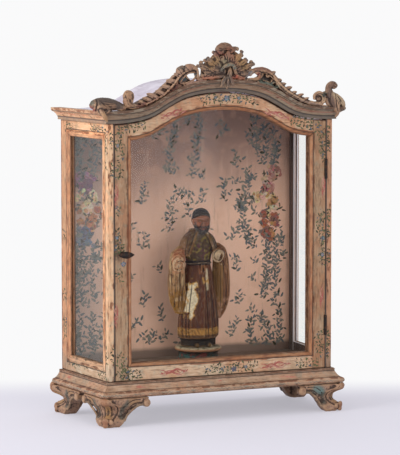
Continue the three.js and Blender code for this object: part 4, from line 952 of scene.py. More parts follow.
class SHRINE_OT_boards(bpy.types.Operator):
    """Finish the back panel, the floor, the roof and the back rail"""

    bl_idname = "shrine.boards"
    bl_label = "Boards"

    def execute(self, context):
        dress(["back_board"], panel_finish(tints(context)))
        dress(["floor_board"], bare_wood_finish("dusty_floor_wood", "#74604f", "#4c3c31", (0.08, 1, 1)))
        dress(["base_rail_back"], bare_wood_finish("rail_wood", "#8a6a4c", "#5d4431", (0.08, 1, 1)))
        dress(["roof_board"], roof_finish())
        return {"FINISHED"}


class SHRINE_OT_glazing(bpy.types.Operator):
    """Glaze the door and the side windows"""

    bl_idname = "shrine.glazing"
    bl_label = "Glazing"

    def execute(self, context):
        dress([n for n in CAD if n.endswith("glass")], glass_finish())
        return {"FINISHED"}


class SHRINE_OT_ironwork(bpy.types.Operator):
    """Finish the hinges, the lock and the thumb turn"""

    bl_idname = "shrine.ironwork"
    bl_label = "Ironwork"

    def execute(self, context):
        iron = [n for n in CAD if n.startswith("hinge_") or n in ("lock_case", "lock_bolt", "thumb_turn")]
        dress(iron, iron_finish())
        return {"FINISHED"}


class SHRINE_OT_crest(bpy.types.Operator):
    """Carve the crest: the shell, the two scrolled bands and the corner pieces"""

    bl_idname = "shrine.crest"
    bl_label = "Crest"

    def execute(self, context):
        self.voxel = context.scene.shrine_sizes.voxel
        self.colours = tints(context)
        self.material = carving_finish(self.colours)
        self.shell()
        self.left_band()
        self.right_band()
        self.left_corner()
        self.right_corner()
        return {"FINISHED"}

    def done(self, carving, node, material=None):
        name = node.replace("crest_", "carved_")
        carving.melt(name, self.voxel, material or self.material, "case", "carved_wood", node)

    def shell(self):
        c, paint = Carving(stops=pick), self.colours
        rows = [
            [(-45, 5, 540.2), (-20, 4, 542.4), (0, 3, 543.2), (20, 4, 542.4), (42, 5, 539.8)],
            [(-47, 6, 549), (-24, 4, 552), (0, 4, 553), (22, 4, 552), (45, 6, 548)],
            [(-45, 8, 558), (-30, 6, 563), (0, 5, 566), (28, 6, 563), (47, 8, 558)],
            [(-47, 10, 568), (-31, 8, 577), (2, 5, 584), (35, 8, 577), (50, 10, 568)],
            [(-27, 11, 583), (-19, 9, 590), (4, 6, 600), (27, 9, 592), (34, 11, 583)],
        ]
        c.sheet(raised(rows), CREST_BACK)
        for tip, width, lift, pairs, root in (
            ((-54, 570), 13, 4, 1, (-12, 556)), ((-36.5, 581), 14, 5, 1, (-7, 560)),
            ((-22.5, 592.5), 11.5, 5, 1, (-4, 564)), ((31, 591), 13.5, 5, 1, (8, 564)),
            ((43, 579), 13, 5, 1, (10, 561)), ((55, 571), 12.5, 4, 1, (12, 557)), ((43, 554), 11, 4, 1, (14, 555)),
            ((-42, 557), 11, 4, 1, (-12, 553)), ((5, 594), 15, 3, 1, (2, 566)),
        ):
            c.leaf(root, tip, width, CREST_FRONT + 5.5, lift, pairs, 0.62)
        c.cuts = [(line, depth * 0.55, width * 1.1) for line, depth, width in c.cuts]
        for x, z, r in (
            (-57, 569.5, 3), (-50.5, 576, 3.2), (-42, 579.5, 3), (-36.3, 583.5, 3), (-25.5, 583, 3), (-24.5, 594.5, 3),
            (-41, 560.5, 3), (-47.5, 552.5, 3), (24, 600.5, 3), (33.5, 594.5, 3.2), (34, 588, 3), (41.5, 580.5, 3),
            (53, 576, 3), (57.5, 572, 3), (50.5, 562.5, 3), (43, 554.5, 3),
        ):
            c.lump((x * 0.97, CREST_FRONT + 3.5, z - 0.6), (r * 1.35, 3, r * 1.2), 0.5 if x > 0 else -0.5)
        each(c.roll,
            ([(-14.5, 593, 1, 4), (-14, 599.6, 3, 6), (-7, 604, 5, 7), (2, 604.4, 5, 7), (9, 601.6, 3, 5.6),
                (15, 597.6, 1, 4.4)], 1),
            ([(10, 594, 1, 5), (17, 599, 2, 5), (22.5, 600, 3, 3.6), (25, 597, 3, 2)], 0.8),
            ([(-15, 595.5, 5, 3.6), (-11, 592, 7, 3.2), (-6, 594.5, 6.5, 2)], 0.8))
        each(c.cut, ([(-14, 601), (-6, 599), (4, 600), (12, 597)], 1, 1),
            ([(-9, 611), (-4, 606), (4, 606), (9, 603)], 0.6, 0.9))
        each(c.roll,
            ([(-9, 562, 6, 1.6), (-4, 567.5, 8, 3.2), (2, 570, 9, 3.8), (9, 571.5, 9, 4), (15, 567.5, 9, 3.9),
                (17.5, 559, 8, 3.5), (23, 551.5, 6, 3.1), (34, 547, 4, 2.2)], 0.9),
            ([(8, 565, 6, 2.4), (7.5, 558, 8, 4.6), (6.5, 550.5, 7, 4.8), (6.5, 546, 6, 3)], 0.8),
            ([(-44, 547, 3, 3.2), (-20, 548.8, 4, 3.4), (4, 549, 5, 3.4), (24, 548, 4, 3.2), (38, 545.6, 3, 2.6)], 0.9))
        for w in (-1, 0, 1):
            c.roll([(2 + 5 * w, 548, 9.5, 3.2), (1 + 8.5 * w, 541, 11.7, 4.2), (1 + 11 * w, 533.5, 11.9, 3.4),
                (13 * w - 1, 526.5 + 4 * abs(w), 11.1, 1.2)], 0.55)
            c.cut([(2 + 5 * w, 546), (1 + 9 * w, 537), (12.5 * w - 1, 528 + 4 * abs(w))], -0.5, 0.7)
        for w in (-0.5, 0.5):
            c.cut([(2 + 5 * w, 545), (1 + 9 * w, 536), (12 * w, 529)], 1.6, 0.8)
        c.cut([(-8, 584.6), (-7.6, 590.6)], 6.5, 1.25)
        for x0, x1 in ((-40, -30), (-26, -16), (18, 28)):
            c.cut([(x0, 549.5), (x0 + 3, 553), (x1, 554)], 1, 0.8)
        each(c.cut, ([(-12, 577), (-6, 572), (-8, 563)], 1.8, 1.4), ([(1, 590), (3, 582), (2, 575)], 1, 1.2),
            ([(12, 590), (12, 583), (15, 577)], 1, 1.2), ([(2, 563), (4, 560), (3, 552)], 2.4, 1.5),
            ([(13, 561), (13, 553), (18, 548)], 2.2, 1.4))
        each(c.glaze, ([(-46, 546), (0, 547), (38, 544)], 4.5, "#a5644a", 0.75),
            ([(-7, 563), (2, 570), (15, 567)], 4.5, paint["verdigris"], 0.8),
            ([(6.5, 563), (6.5, 548)], 5, "#a98463", 0.9), ([(8, 546), (20, 549)], 3.5, "#b4573f", 0.7),
            ([(-20, 592), (-6, 590)], 5, "#6e2f27", 0.8), ([(-14, 604), (14, 604)], 7, "#5f3f2b", 0.7),
            ([(6, 596), (16, 584), (22, 578)], 8, "#8a5a43", 0.8), ([(-8, 573), (-2, 576)], 6, "#7e7256", 0.8))
        for tip in ((-57, 571), (-38, 584), (-24, 596), (34, 595), (44, 582), (58, 572), (44, 552)):
            c.glaze([tip], 5.5, "#36353a", 0.75)
        for tip in ((-30, 570), (-20, 578), (30, 574), (24, 583), (38, 567)):
            c.glaze([tip], 7.5, "#93703f", 0.6)
        c.glaze([(-2, -119, 545), (1, -119, 526)], 16, "#54453a", 1)
        c.rough = 0.5
        darker = {n: tuple(0.7 * k for k in paint[n]) for n in ("carving", "ochre", "carving_dark")}
        self.done(c, "crest_shell", carving_finish({**paint, **darker}, "worn_shell_wood"))

    def serrate(self, c, side, teeth, radius, colour):
        """Teeth on a band's upper edge, each as (tip x, tip z, foot x, foot z, half its width)."""
        for tx, tz, fx, fz, half in teeth:
            mx, mz = (tx + fx) / 2 - 2 * side, (tz + fz) / 2
            foot, tip = (fx - 5 * side, fz - 1.5, 2, half * 0.7), (tx - 0.6 * side, tz - 0.2, 4, 0.9)
            c.roll([foot, (mx, mz, 3, half * 0.72), (tx - 3 * side, tz - 1, 3.5, half * 0.5), tip], 0.7)
            c.cut([(fx - 2 * side, fz - 4), (mx, mz - 2.5), (tx - 1.5 * side, tz - 1.5)], 0.8, 0.8)
            c.glaze([(tx, tz)], radius, colour, 0.6)

    def left_band(self):
        c = Carving(stops=pick)
        rows = [
            [(-198, 6, 489.6), (-184, 6, 490.9), (-150, 6, 498.2), (-114, 6, 517), (-94, 6, 526.9), (-80, 6, 532.1),
                (-60, 6, 536.4)],
            [(-198, 7, 493.5), (-178, 8, 496.5), (-146, 9, 504.5), (-112, 9, 522), (-97, 9.5, 533), (-84, 11, 541),
                (-66, 10, 544)],
            [(-198, 5, 494.7), (-176, 5.5, 500), (-156, 6, 508), (-134, 6.5, 518), (-118, 7, 530), (-103, 8, 546),
                (-74, 9, 552)],
            [(-198, 4, 495.6), (-178, 4, 502), (-160, 3.5, 510.5), (-142, 4, 518.5), (-126, 4.5, 530), (-108, 5, 547),
                (-76, 6, 561)],
            [(-198, 7, 496.6), (-180, 7, 503.5), (-164, 7, 511), (-150, 7, 517.5), (-136, 7, 524), (-123, 7, 534.5),
                (-110, 7, 545), (-98, 7, 555), (-80, 7, 566)],
        ]
        c.sheet(raised(rows), CREST_BACK, 110)
        bead = [
            (-176, 497.2, 3.5, 1.6), (-150, 504.8, 4.5, 1.9), (-124, 517.5, 4.5, 2), (-106, 533.5, 5, 2.1),
            (-94, 548, 5.5, 2.2), (-82, 558.5, 6, 2.4), (-68, 563, 6, 2.4),
        ]
        c.roll(bead)
        teeth = [
            (-174, 508.5, -160, 503, 5), (-165, 514, -150, 509, 5.4), (-156.5, 521, -140, 515, 5.8),
            (-139.5, 526, -126, 521, 5.8), (-127, 535, -112, 531, 6), (-118.5, 544, -101, 542, 6.4),
            (-103, 556.5, -90, 551, 5.6),
        ]
        self.serrate(c, -1, teeth, 5, "#3b332e")
        each(c.roll, ([(-93, 553, 1, 5), (-90, 561, 2, 7.5), (-84, 565.5, 2, 5.5), (-79, 563, 3, 3)], 0.9),
            ([(-84, 557, 2, 4.6), (-77, 565, 3, 7), (-68, 567, 3, 6.5), (-59.5, 562, 3, 5.8), (-56, 552, 2, 5),
                (-52, 545.5, 1, 4.4), (-40, 545.5, 0, 3.6), (-29, 545.6, 0, 3)], 0.85),
            ([(-80, 534, 1, 3.2), (-64, 538, 1, 3.4), (-50, 540.6, 1, 3.2), (-38, 542, 0.5, 3)], 1))
        for dx in (0, 6.5, 13):
            c.cut([(-96 + dx, 566 + dx * 0.3), (-90 + dx, 558 + dx * 0.5), (-86 + dx, 552 + dx * 0.6)], 0.8, 0.9)
        each(c.cut, ([(-84, 541.5), (-77, 549), (-68, 554.5), (-61, 556)], 4.8, 5),
            ([(-79, 540.5), (-71, 545), (-63, 549)], 3.2, 4.4))
        each(c.roll,
            ([(-89, 539.5, 3, 1.5), (-83.5, 548.5, 4.5, 1.8), (-74, 556.5, 5.5, 2), (-62, 557.5, 5.5, 2)], 1),
            ([(-88, 537.5, 1.5, 1.4), (-76, 539, 2, 2.1), (-66, 542.5, 2.5, 2.2), (-60, 548, 3, 1.8)], 1))
        c.lump((-189.6, CREST_Y - 1, 515.5), (11, 8.8, 12.4), -0.1)
        each(c.roll, ([(-196, 512, 4, 6), (-193, 503, 4, 7.2), (-184, 499, 2, 6), (-172, 498, 1, 4.4)], 1),
            ([(-184, 515, 5, 3.4), (-186, 508.5, 5.5, 4), (-192, 503.5, 4.5, 4.6)], 0.8))
        each(c.cut, ([(-183.8, 519), (-182.6, 515.5), (-183.4, 512)], 3.6, 2),
            ([(-199, 521), (-196, 511), (-193, 502), (-184, 497)], 0.8, 0.8),
            ([(-196, 524), (-187, 526.5), (-181, 520)], 0.7, 0.8),
            ([(-196, 494.5), (-178, 497.2), (-158, 500.2)], 1.3, 1))
        each(c.glaze, ([(-170, 497.5), (-141, 505), (-115, 517.5), (-99, 531)], 5.5, "#6e3f33", 0.95),
            ([(-98, 531), (-92, 540)], 4.5, "#6e3f33", 0.8))
        for x, z in (
            (-152, 501.7), (-139, 506.5), (-132, 511.5), (-123, 514.5), (-114, 521.5), (-106, 526), (-99, 532.5),
        ):
            c.glaze([(x, z)], 1.9, "#2a1c18", 1)
            c.cut([(x - 0.4, z), (x + 0.4, z)], 1, 1.2, 2)
        each(c.glaze, ([(-79, 545), (-70, 552), (-62, 555)], 4.2, "#24414a", 1),
            ([(-84, 540), (-86, 546)], 2.5, "#27505a", 0.9),
            ([(-150, 511), (-124, 527), (-106, 544), (-92, 558)], 5, "#a2806a", 0.6),
            ([(-183, 515.5)], 3.4, "#3a211b", 1), ([(-194, 520), (-192, 508)], 7.5, "#8c6646", 0.6),
            ([(-92, 566), (-84, 568)], 5, "#4a4038", 0.8), ([(-72, 568)], 6, "#8a6350", 0.7),
            ([(-88, 536), (-60, 541), (-30, 546)], 3, "#a07a68", 0.8))
        c.rough = 0.4
        self.done(c, "crest_left_scroll")

    def right_band(self):
        c = Carving(stops=pick)
        rows = [
            [(196, 6, 489.6), (184, 6, 490.9), (150, 6, 498.2), (114, 6, 517), (94, 6, 526.9), (80, 6, 532.1),
                (60, 6, 536.4)],
            [(196, 7, 493.2), (178, 8, 494.8), (146, 9, 503.5), (112, 9.5, 521.5), (97, 10, 531.5), (86, 11, 538),
                (68, 10, 542)],
            [(196, 5, 494.4), (176, 5.5, 498.5), (154, 6, 507), (132, 7, 516), (116, 8, 528), (103, 10, 541),
                (76, 10, 548)],
            [(196, 4, 495.4), (176, 4, 500.5), (158, 3.5, 508.5), (140, 4, 517), (124, 4.5, 527), (108, 5, 542),
                (80, 6, 555)],
            [(196, 7, 496.2), (178, 7, 502), (162, 7, 509), (147, 7, 515), (134, 7, 522), (120, 7, 532), (108, 7, 543),
                (96, 7, 553), (81, 7, 559)],
        ]
        c.sheet(raised(rows), CREST_BACK, 110)
        ribbon = [
            (50, 552, 3, 3.5), (56, 558.5, 3.5, 4.6), (66, 561, 4, 5.4), (78, 560, 4.5, 5.4), (90, 554.5, 5, 5),
            (100, 545, 5, 4.4), (112, 532.5, 4.5, 3.9), (128, 520.5, 4, 3.3), (150, 508.5, 3.5, 2.8),
            (174, 499, 3, 2.4),
        ]
        c.roll(ribbon, 0.9)
        c.cut([(60, 563.5), (78, 562), (91, 556.5), (102, 546.5), (114, 534), (130, 521.5), (152, 509.5), (172, 501)],
            0.8, 0.8, 30)
        bead = [
            (88, 551, 5, 1.5), (97.6, 543, 6, 1.8), (108.5, 528, 6, 1.8), (124, 517, 5.5, 1.7), (135, 511, 5, 1.6),
            (154, 503, 4.5, 1.5), (173, 496, 4, 1.4),
        ]
        c.roll(bead)
        each(c.roll, ([(53, 560, 2, 4), (48, 555.5, 1, 3.4), (44, 550, 1, 2.8), (38, 545.6, 0, 2.4)], 1),
            ([(61, 556, 6, 3.2), (67, 552, 6.5, 4.4), (66, 546.5, 5, 4.4), (58, 543.6, 3, 3.4), (45, 543.8, 1.5, 2.6)],
                0.8),
            ([(74, 555.5, 5, 2.2), (71, 549, 5.5, 2.8), (67, 544.5, 5, 2.4)], 1),
            ([(80, 534, 1, 3.2), (64, 538, 1, 3.4), (50, 540.6, 1, 3.2), (38, 542, 0.5, 3)], 1))
        teeth = [
            (171, 508.5, 158, 503, 4.6), (160.5, 515.5, 147, 510, 5), (146, 520, 132, 514.5, 5.4),
            (136, 528.5, 120, 523, 5.8), (124, 535.5, 110, 531, 5.8), (115.5, 542, 100, 540, 6.2),
            (102.5, 557, 90, 551, 5.8),
        ]
        self.serrate(c, 1, teeth, 4.4, "#453b35")
        each(c.cut, ([(76, 549), (84, 549), (90, 545)], 4.8, 4.6), ([(80, 543), (92, 540), (101, 533)], 3.4, 3.6))
        for lift in (0, 3, 6):
            c.roll([(70 + lift, 537.2 + lift * 0.9, 0.5, 0.9), (88, 533.6 + lift * 0.8, 1, 1.2),
                (104 - lift, 526.6 + lift * 0.8, 1, 1)])
        c.roll([(170, 499, 3, 4.4), (180, 497.6, 4, 4.2), (193, 497.4, 5, 4.6), (199, 503.5, 6, 4.8),
            (197, 512, 6, 4.6), (189.5, 516.4, 6, 4.4), (181.5, 512.8, 5.5, 3.8), (180.5, 506.5, 5, 3.2)], 0.9)
        c.lump((189, CREST_Y - 3, 507), (6, 5, 6))
        c.spiral((189.5, 507.2), -0.5, 9.5, 1.6, 1.4, 0.8)
        c.roll([(194, 506, 2, 4), (201, 513.5, 2, 4.6), (206, 516, 2, 4.2), (209, 510.5, 3, 1.5)], 0.8)
        each(c.cut, ([(197, 509), (203, 514), (207, 512)], 1, 0.9), ([(62, 549), (66, 554), (72, 552)], 1.6, 1.2))
        each(c.glaze, ([(64, 553), (67, 547)], 3.6, "#7c2f2c", 0.95), ([(60, 545.5), (72, 548)], 4, "#94704f", 0.6),
            ([(58, 562), (76, 564), (90, 558)], 3.5, "#6a4034", 0.7), ([(50, 556), (44, 549)], 4, "#56606a", 0.7),
            ([(78, 548), (90, 545)], 4.5, "#231a17", 1), ([(72, 539.5), (88, 536), (104, 529)], 4.2, "#55665c", 0.9),
            ([(100, 541), (114, 528), (132, 515), (156, 503)], 2.6, "#bb9a78", 0.7),
            ([(110, 525), (128, 514.5), (150, 504)], 2, "#35231e", 0.9), ([(183, 511), (190, 505)], 4, "#553a2d", 0.8),
            ([(199, 499), (196, 512)], 3, "#b0916f", 0.7), ([(198, 513), (206, 515), (208, 510)], 4.5, "#1f3026", 1),
            ([(100, 524), (140, 505), (190, 494)], 2, "#7a655c", 0.8))
        c.rough = 0.4
        self.done(c, "crest_right_scroll")

    def left_corner(self):
        c = Carving(stops=ahead)
        c.roll([(-258.5, 2, 499.5, 5.4), (-255, 3.5, 501, 9.2), (-246, 7, 502.4, 12.2), (-232, 10, 503, 12),
            (-217, 12, 501, 9.6), (-206, 13, 498.5, 6.8), (-198, 13, 496, 4.6)], 0.94, sides=22)
        c.lump((-249, FACE_Y - 9, 495), (9, 8, 8.5))
        c.lump((-229, FACE_Y - 14, 497), (10, 6.5, 7.5))
        each(c.roll, ([(-254, 11, 490.5, 4.2), (-247, 16, 488, 5), (-240, 19, 484, 4.4), (-236, 19.5, 477, 3)], 1),
            ([(-250, 15.5, 499, 5), (-240, 18.5, 499, 5.6), (-232, 19.5, 494, 4.8), (-237, 20, 489.5, 3.4)], 1),
            ([(-247, 14, 497, 4.6), (-244.6, 20.5, 490, 4.6), (-240, 22, 481, 3.8), (-234, 18.6, 472.6, 2.2)], 1),
            ([(-222, 14, 500, 4.4), (-212, 15.5, 495.5, 4.2), (-203, 15, 492.6, 3)], 0.9))
        c.rough = 0.3
        for k in range(4):
            c.cut([(-251 + 3 * k, 513 - 3 * k), (-243 + 4 * k, 509.5 - 5 * k), (-230 + 3 * k, 507 - 4 * k),
                (-212 + k, 503 - 2.4 * k)], 0.8, 1)
        each(c.cut, ([(-252, 514), (-252.5, 503), (-255, 492)], 2.2, 1.3),
            ([(-238, 494.5), (-235.5, 491.5), (-237.5, 489.5)], 1.8, 1.2),
            ([(-246, 496), (-243, 488), (-239, 479)], 0.8, 0.7))
        each(c.glaze, ([(-259, 508), (-262, 503)], 3.6, "#344038", 0.9),
            ([(-261, -100, 495), (-256, -106, 490)], 6.5, "#7c2f2b", 0.9),
            ([(-248, 511), (-230, 512), (-208, 504)], 8, "#3d3029", 1), ([(-240, 497), (-216, 494)], 7, "#2f231d", 0.8),
            ([(-240, 500), (-222, 500)], 4.5, "#7d5c42", 0.8), ([(-243, 486), (-238, 476)], 4, "#a37c54", 0.7))
        self.done(c, "crest_corner_left")

    def right_corner(self):
        c = Carving(stops=ahead)
        c.roll([(223.5, 18.6, 472.2, 2.2), (226, 21, 480, 3.8), (225, 16, 491, 9.5), (220, 12, 503, 11.6),
            (214, 11, 514, 8.8), (211.5, 11, 524, 6.4), (214, 11.6, 530.5, 6.2)], 0.96, sides=22)
        c.roll([(212, 11, 525, 5.6), (215.5, 12, 531, 6.4), (221, 12.5, 532, 6.2), (226, 13.5, 529, 4.8)], 1)
        c.lump((222, FACE_Y - 13, 530), (7.2, 6.4, 7))
        each(c.roll,
            ([(222, 11, 514, 4.4), (229, 10.5, 508, 6.4), (236, 10.5, 499, 8.4), (239, 11, 491.5, 7.4),
                (233, 12, 486, 5), (228, 13.5, 487.5, 3.4)], 1),
            ([(206, 14.5, 505, 3.4), (208, 15, 498.5, 4.4), (213, 15.5, 493.5, 3.6)], 0.9))
        c.cut([(221, 533.5), (224.5, 530.5), (222, 527.5), (219.5, 529.5)], 1.2, 0.9)
        for lift in (0, 3.6, 7.2):
            c.cut([(228 - lift, 510 - lift * 0.4), (236 - lift, 500 - lift * 0.5), (240 - lift * 1.1, 491)], 0.8, 0.7)
        each(c.cut, ([(216, 524), (212, 512), (211, 500), (217, 489)], 0.9, 0.9),
            ([(236, 489.5), (232.5, 488), (231.5, 491), (234.5, 493)], 2.4, 1.3),
            ([(224, 515), (222, 505), (222.5, 494), (225, 483)], 1.6, 1.1))
        each(c.glaze, ([(212, 527), (220, 534), (226, 529)], 6.5, "#56392a", 0.95),
            ([(212, 516), (212, 502), (216, 492)], 6, "#4c3830", 0.9),
            ([(222, 514), (230, 508), (238, 497)], 6, "#b19878", 0.85), ([(233, 489)], 4.4, "#3a2521", 1),
            ([(225, 484), (224, 474)], 4, "#7a5b46", 0.8))
        c.rough = 0.4
        self.done(c, "crest_corner_right")


def foot_place(a, b, z, side, back):
    """A point of a foot: a along the front, b along the side wall, from the case's corner."""
    wall = DEPTH / math.cos(SPLAY)
    along = wall - 18 - b if back else b
    x = -HALF_FRONT - along * math.sin(SPLAY) + a
    return (side * -x, FACE_Y + along * math.cos(SPLAY), z)


class SHRINE_OT_feet(bpy.types.Operator):
    """Carve the four bracket feet with their leaf, scrolled wings and toe"""

    bl_idname = "shrine.feet"
    bl_label = "Feet"

    LEVELS = [
        (0, 22, 72, 15), (0.0762, 24.3, 70, 17), (0.1524, 23, 66, 20), (0.2286, 17, 57, 22), (0.3238, 12, 47, 23),
        (0.419, 9, 40, 22), (0.5333, 7.5, 33.5, 20), (0.6286, 8, 30, 18), (0.7048, 12, 27, 17), (0.8, 16.5, 24, 17),
        (0.8952, 16, 20, 16), (1, 12, 15, 14),
    ]

    def execute(self, context):
        self.colours = tints(context)
        factors = {"carving": 2.5, "carving_dark": 2.6, "ochre": 0.95}
        lighter = {name: tuple(k * c for c in self.colours[name]) for name, k in factors.items()}
        material = carving_finish({**self.colours, **lighter}, "worn_carved_feet")
        voxel = context.scene.shrine_sizes.voxel * 1.15
        for node, side, back in (
            ("foot_front_left", -1, False), ("foot_front_right", 1, False), ("foot_back_left", -1, True),
            ("foot_back_right", 1, True),
        ):
            carving = self.foot(side, back)
            carving.melt(node.replace("foot_", "carved_foot_"), voxel, material, "case", "carved_wood", node)
        return {"FINISHED"}

    def foot(self, side, back):
        top, foot_height = -28.5, 52.5
        stretch = 1.2 if back else 1

        def at(a, b, z):
            return foot_place(a, b, z, side, back)

        c = Carving()
        rings = []
        levels = [(down * 100, out, length, turn) for down, out, length, turn in self.LEVELS]
        for down, out, length, turn in smooth(levels, 40):
            z = top - down / 100 * foot_height
            middle = turn - out
            inside = min(15, length - 2)
            quarter = np.linspace(0, math.pi / 2, 13)
            ring = [at(middle - turn * math.sin(a), middle - turn * math.cos(a), z) for a in quarter]
            far = middle + (length - middle) * stretch
            thin = min(out, 13 + out * 0.12)
            ring += [at(a, b, z) for a, b in (
                (-thin, middle + 6), (-thin, far), (inside - 4, far), (inside, inside), (length, inside - 4),
                (length, -thin), (middle + 6, -thin),
            )]
            rings.append(ring)
        c.rings(rings)
        profile = [(down / 100, out, turn) for down, out, _, turn in smooth(levels, 16)]

        def corner(shift, inset, width):
            stops = []
            for down, out, turn in profile:
                angle = math.pi / 4 + shift * (1.15 - 0.5 * abs(down - 0.5))
                r = turn - inset
                a, b = turn - out - r * math.sin(angle), turn - out - r * math.cos(angle)
                wide = width * (1.1 - 0.35 * math.sin(math.pi * min(down * 1.15, 1)))
                stops.append((*at(a, b, top - 1 - down * (foot_height - 3.5)), wide))
            return stops

        out_way = (side * 0.7, -0.7, 0)
        c.roll(corner(0, 3, 9), 0.42, out_way, 20)
        for shift in (-0.5, 0.5):
            c.roll(corner(shift, 1.2, 2), 0.8, out_way, 10)
        for shift, deep in ((-0.27, 0.9), (0.27, 0.9), (0, 0.7), (-0.72, 1.7), (0.72, 1.7)):
            line = np.array([row[:3] for row in corner(shift, -0.5, 1)])[1:-2]
            c.cuts.append((line, deep, 1.1 if deep > 0 else 0.9))
        toe = top - foot_height + 11
        for a, b, r, dz in ((-14.5, -14.5, 6.6, 1.5), (-5.5, -17.5, 5.4, 0), (-17.5, -5.5, 5.4, 0), (-14, -14, 6, -5)):
            c.roll([(*at(a + 2, b + 2, toe + dz), r * 0.9), (*at(a, b, toe + dz), r)], 1, (0, 0, 1))
        knob = top - 10.2
        for first, second in (((66, -3), (66, -18)), ((-3, 66 * stretch), (-18, 66 * stretch))):
            c.roll([(*at(*first, knob), 7.4), (*at(*second, knob), 7.6)], 1, (0, 0, 1), 20)
            hub = np.array(at(*second, knob))
            wing = np.array(at(1, 0, 0) if first[0] == 66 else at(0, 1, 0)) - np.array(at(0, 0, 0))
            t = np.linspace(0, 1, 24)
            spiral = hub + (np.array(at(*second, 0)) - np.array(at(*first, 0))) / 15 * 0.5
            angle, reach = 2.6 + t * 9, (7 * (1 - t) ** 0.8 + 0.8)[:, None]
            turns = reach * (np.cos(angle)[:, None] * wing + np.sin(angle)[:, None] * np.array([0, 0, 1]))
            c.cuts.append((spiral + turns, 1.3, 0.85))
        for way in (0, 1):
            def arm(*stops):
                """Stops of (length, down, forward) along one of the foot's two wings."""
                if way == 0:
                    return [at(length, -forward, top - down) for length, down, forward in stops]
                return [at(-forward, length * stretch, top - down) for length, down, forward in stops]

            edge = arm((60, 13, 15), (50, 14.5, 15.5), (42, 19.5, 14.5), (35, 26, 12), (29, 34, 10), (25, 41, 12))
            c.roll([(*p, 2.3) for p in edge])
            c.cut(arm((58, 8.5, 14.5), (46, 9.5, 15), (37, 15, 14.5), (30, 23, 11.5), (24, 31, 9)), 1.4, 1.3)
            c.cut(arm((54, 3.5, 15.5), (40, 4.5, 15.5), (30, 10, 15), (23, 18, 12)), 1.1, 1.1, 12)
            c.glaze(edge, 4.2, "#4a4636", 0.6)
            c.glaze(arm((30, 8, 15), (22, 18, 12), (19, 34, 10)), 5, "#33423c", 0.85)
            c.glaze(arm((36, 7, 15), (46, 6, 15)), 5, "#8d6a45", 0.7)
        each(c.glaze, ([row[:3] for row in corner(0, -1, 1)], 6.5, "#9a7449", 0.85),
            ([at(-18, -18, top - 2), at(-19, -19, top - 9)], 8, "#84523f", 0.6),
            ([at(-16, -16, toe - 1)], 9, "#7c4a35", 0.7))
        c.rough = 0.35
        if side > 0 and not back:
            c.glaze([at(36, -16, top - 8), at(28, -15, top - 13)], 8.5, "#5d7a76", 0.9)
        return c


def cloud(place, size, seed=0):
    """Noise from -1 to 1 at each point, with lumps about size across."""
    shift = Vector((seed * 3.7, seed * 1.3, seed * 5.1))
    return np.array([noise.noise(Vector(row) / size + shift) for row in place])


def between(value, low, high, soft=1):
    """1 between low and high, with edges soft wide."""
    return np.clip((value - low) / soft + 0.5, 0, 1) * np.clip((high - value) / soft + 0.5, 0, 1)


class Rule:
    """Where a dye lies: a function of the points, from 0 to 1, that takes part in products."""

    def __init__(self, share):
        self.share = share

    def __call__(self, points):
        return self.share(points)

    def __mul__(self, other):
        if isinstance(other, Rule):
            return Rule(lambda p: self(p) * other(p))
        return Rule(lambda p: self(p) * other)


def blotch(size, seed, start, soft, tall=1):
    """Patches about size across where the noise is over start; tall below 1 draws them out upwards."""
    return Rule(lambda p: between(cloud(p * [1, 1, tall], size, seed), start, 9, soft))


def level(low, high, soft=1, axis=2):
    """Between two heights, or between two values on another axis."""
    return Rule(lambda p: between(p[:, axis], low, high, soft))


def beside(middle, half, soft):
    """Within half of x = middle."""
    return Rule(lambda p: between(np.abs(p[:, 0] - middle), -1, half, soft))


def before(y):
    """The side that is ahead of y."""
    return Rule(lambda p: p[:, 1] < y)


EVERYWHERE = Rule(lambda p: np.ones(len(p)))


def figure_finish(name, flake=1, rubbed=0.3):
    """Old painted gesso: the colours of the attribute, darkened in folds, flaked to cream on ridges."""
    material, place = begin(name)
    relief = place.attribute("relief")
    glaze = place.attribute("glaze", "Color")
    mottle = place.noise(5, 4, 0.62)
    fine = place.noise(1.3, 4, 0.65)
    chips = place.times(1, 1, 0.55).noise(3.2, 4, 0.7)
    colour = (mottle.ease(0.42, 0.64) * 0.4).blend(glaze, "#3a2a20")
    colour = ((fine.ease(0.56, 0.7) + relief.ease(0.1, 0.5) * 0.6).low(1) * rubbed).blend(colour, "#b98a55")
    lost = (chips + relief * 0.12 * flake).ease(0.67, 0.72) * min(flake, 1)
    colour = (lost * 0.9).blend(colour, "#d3bb9a")
    hollow = (0 - relief * 2.4 + fine * 0.35 - 0.12).ease(0.1, 0.8)
    colour = (hollow * 0.85).blend(colour, "#1d1411")
    height = fine * 0.1 - lost * 0.25 + mottle * 0.08
    return end(material, colour, 0.5 + fine * 0.3 + lost * 0.2, height, Specular_IOR_Level=0.18)


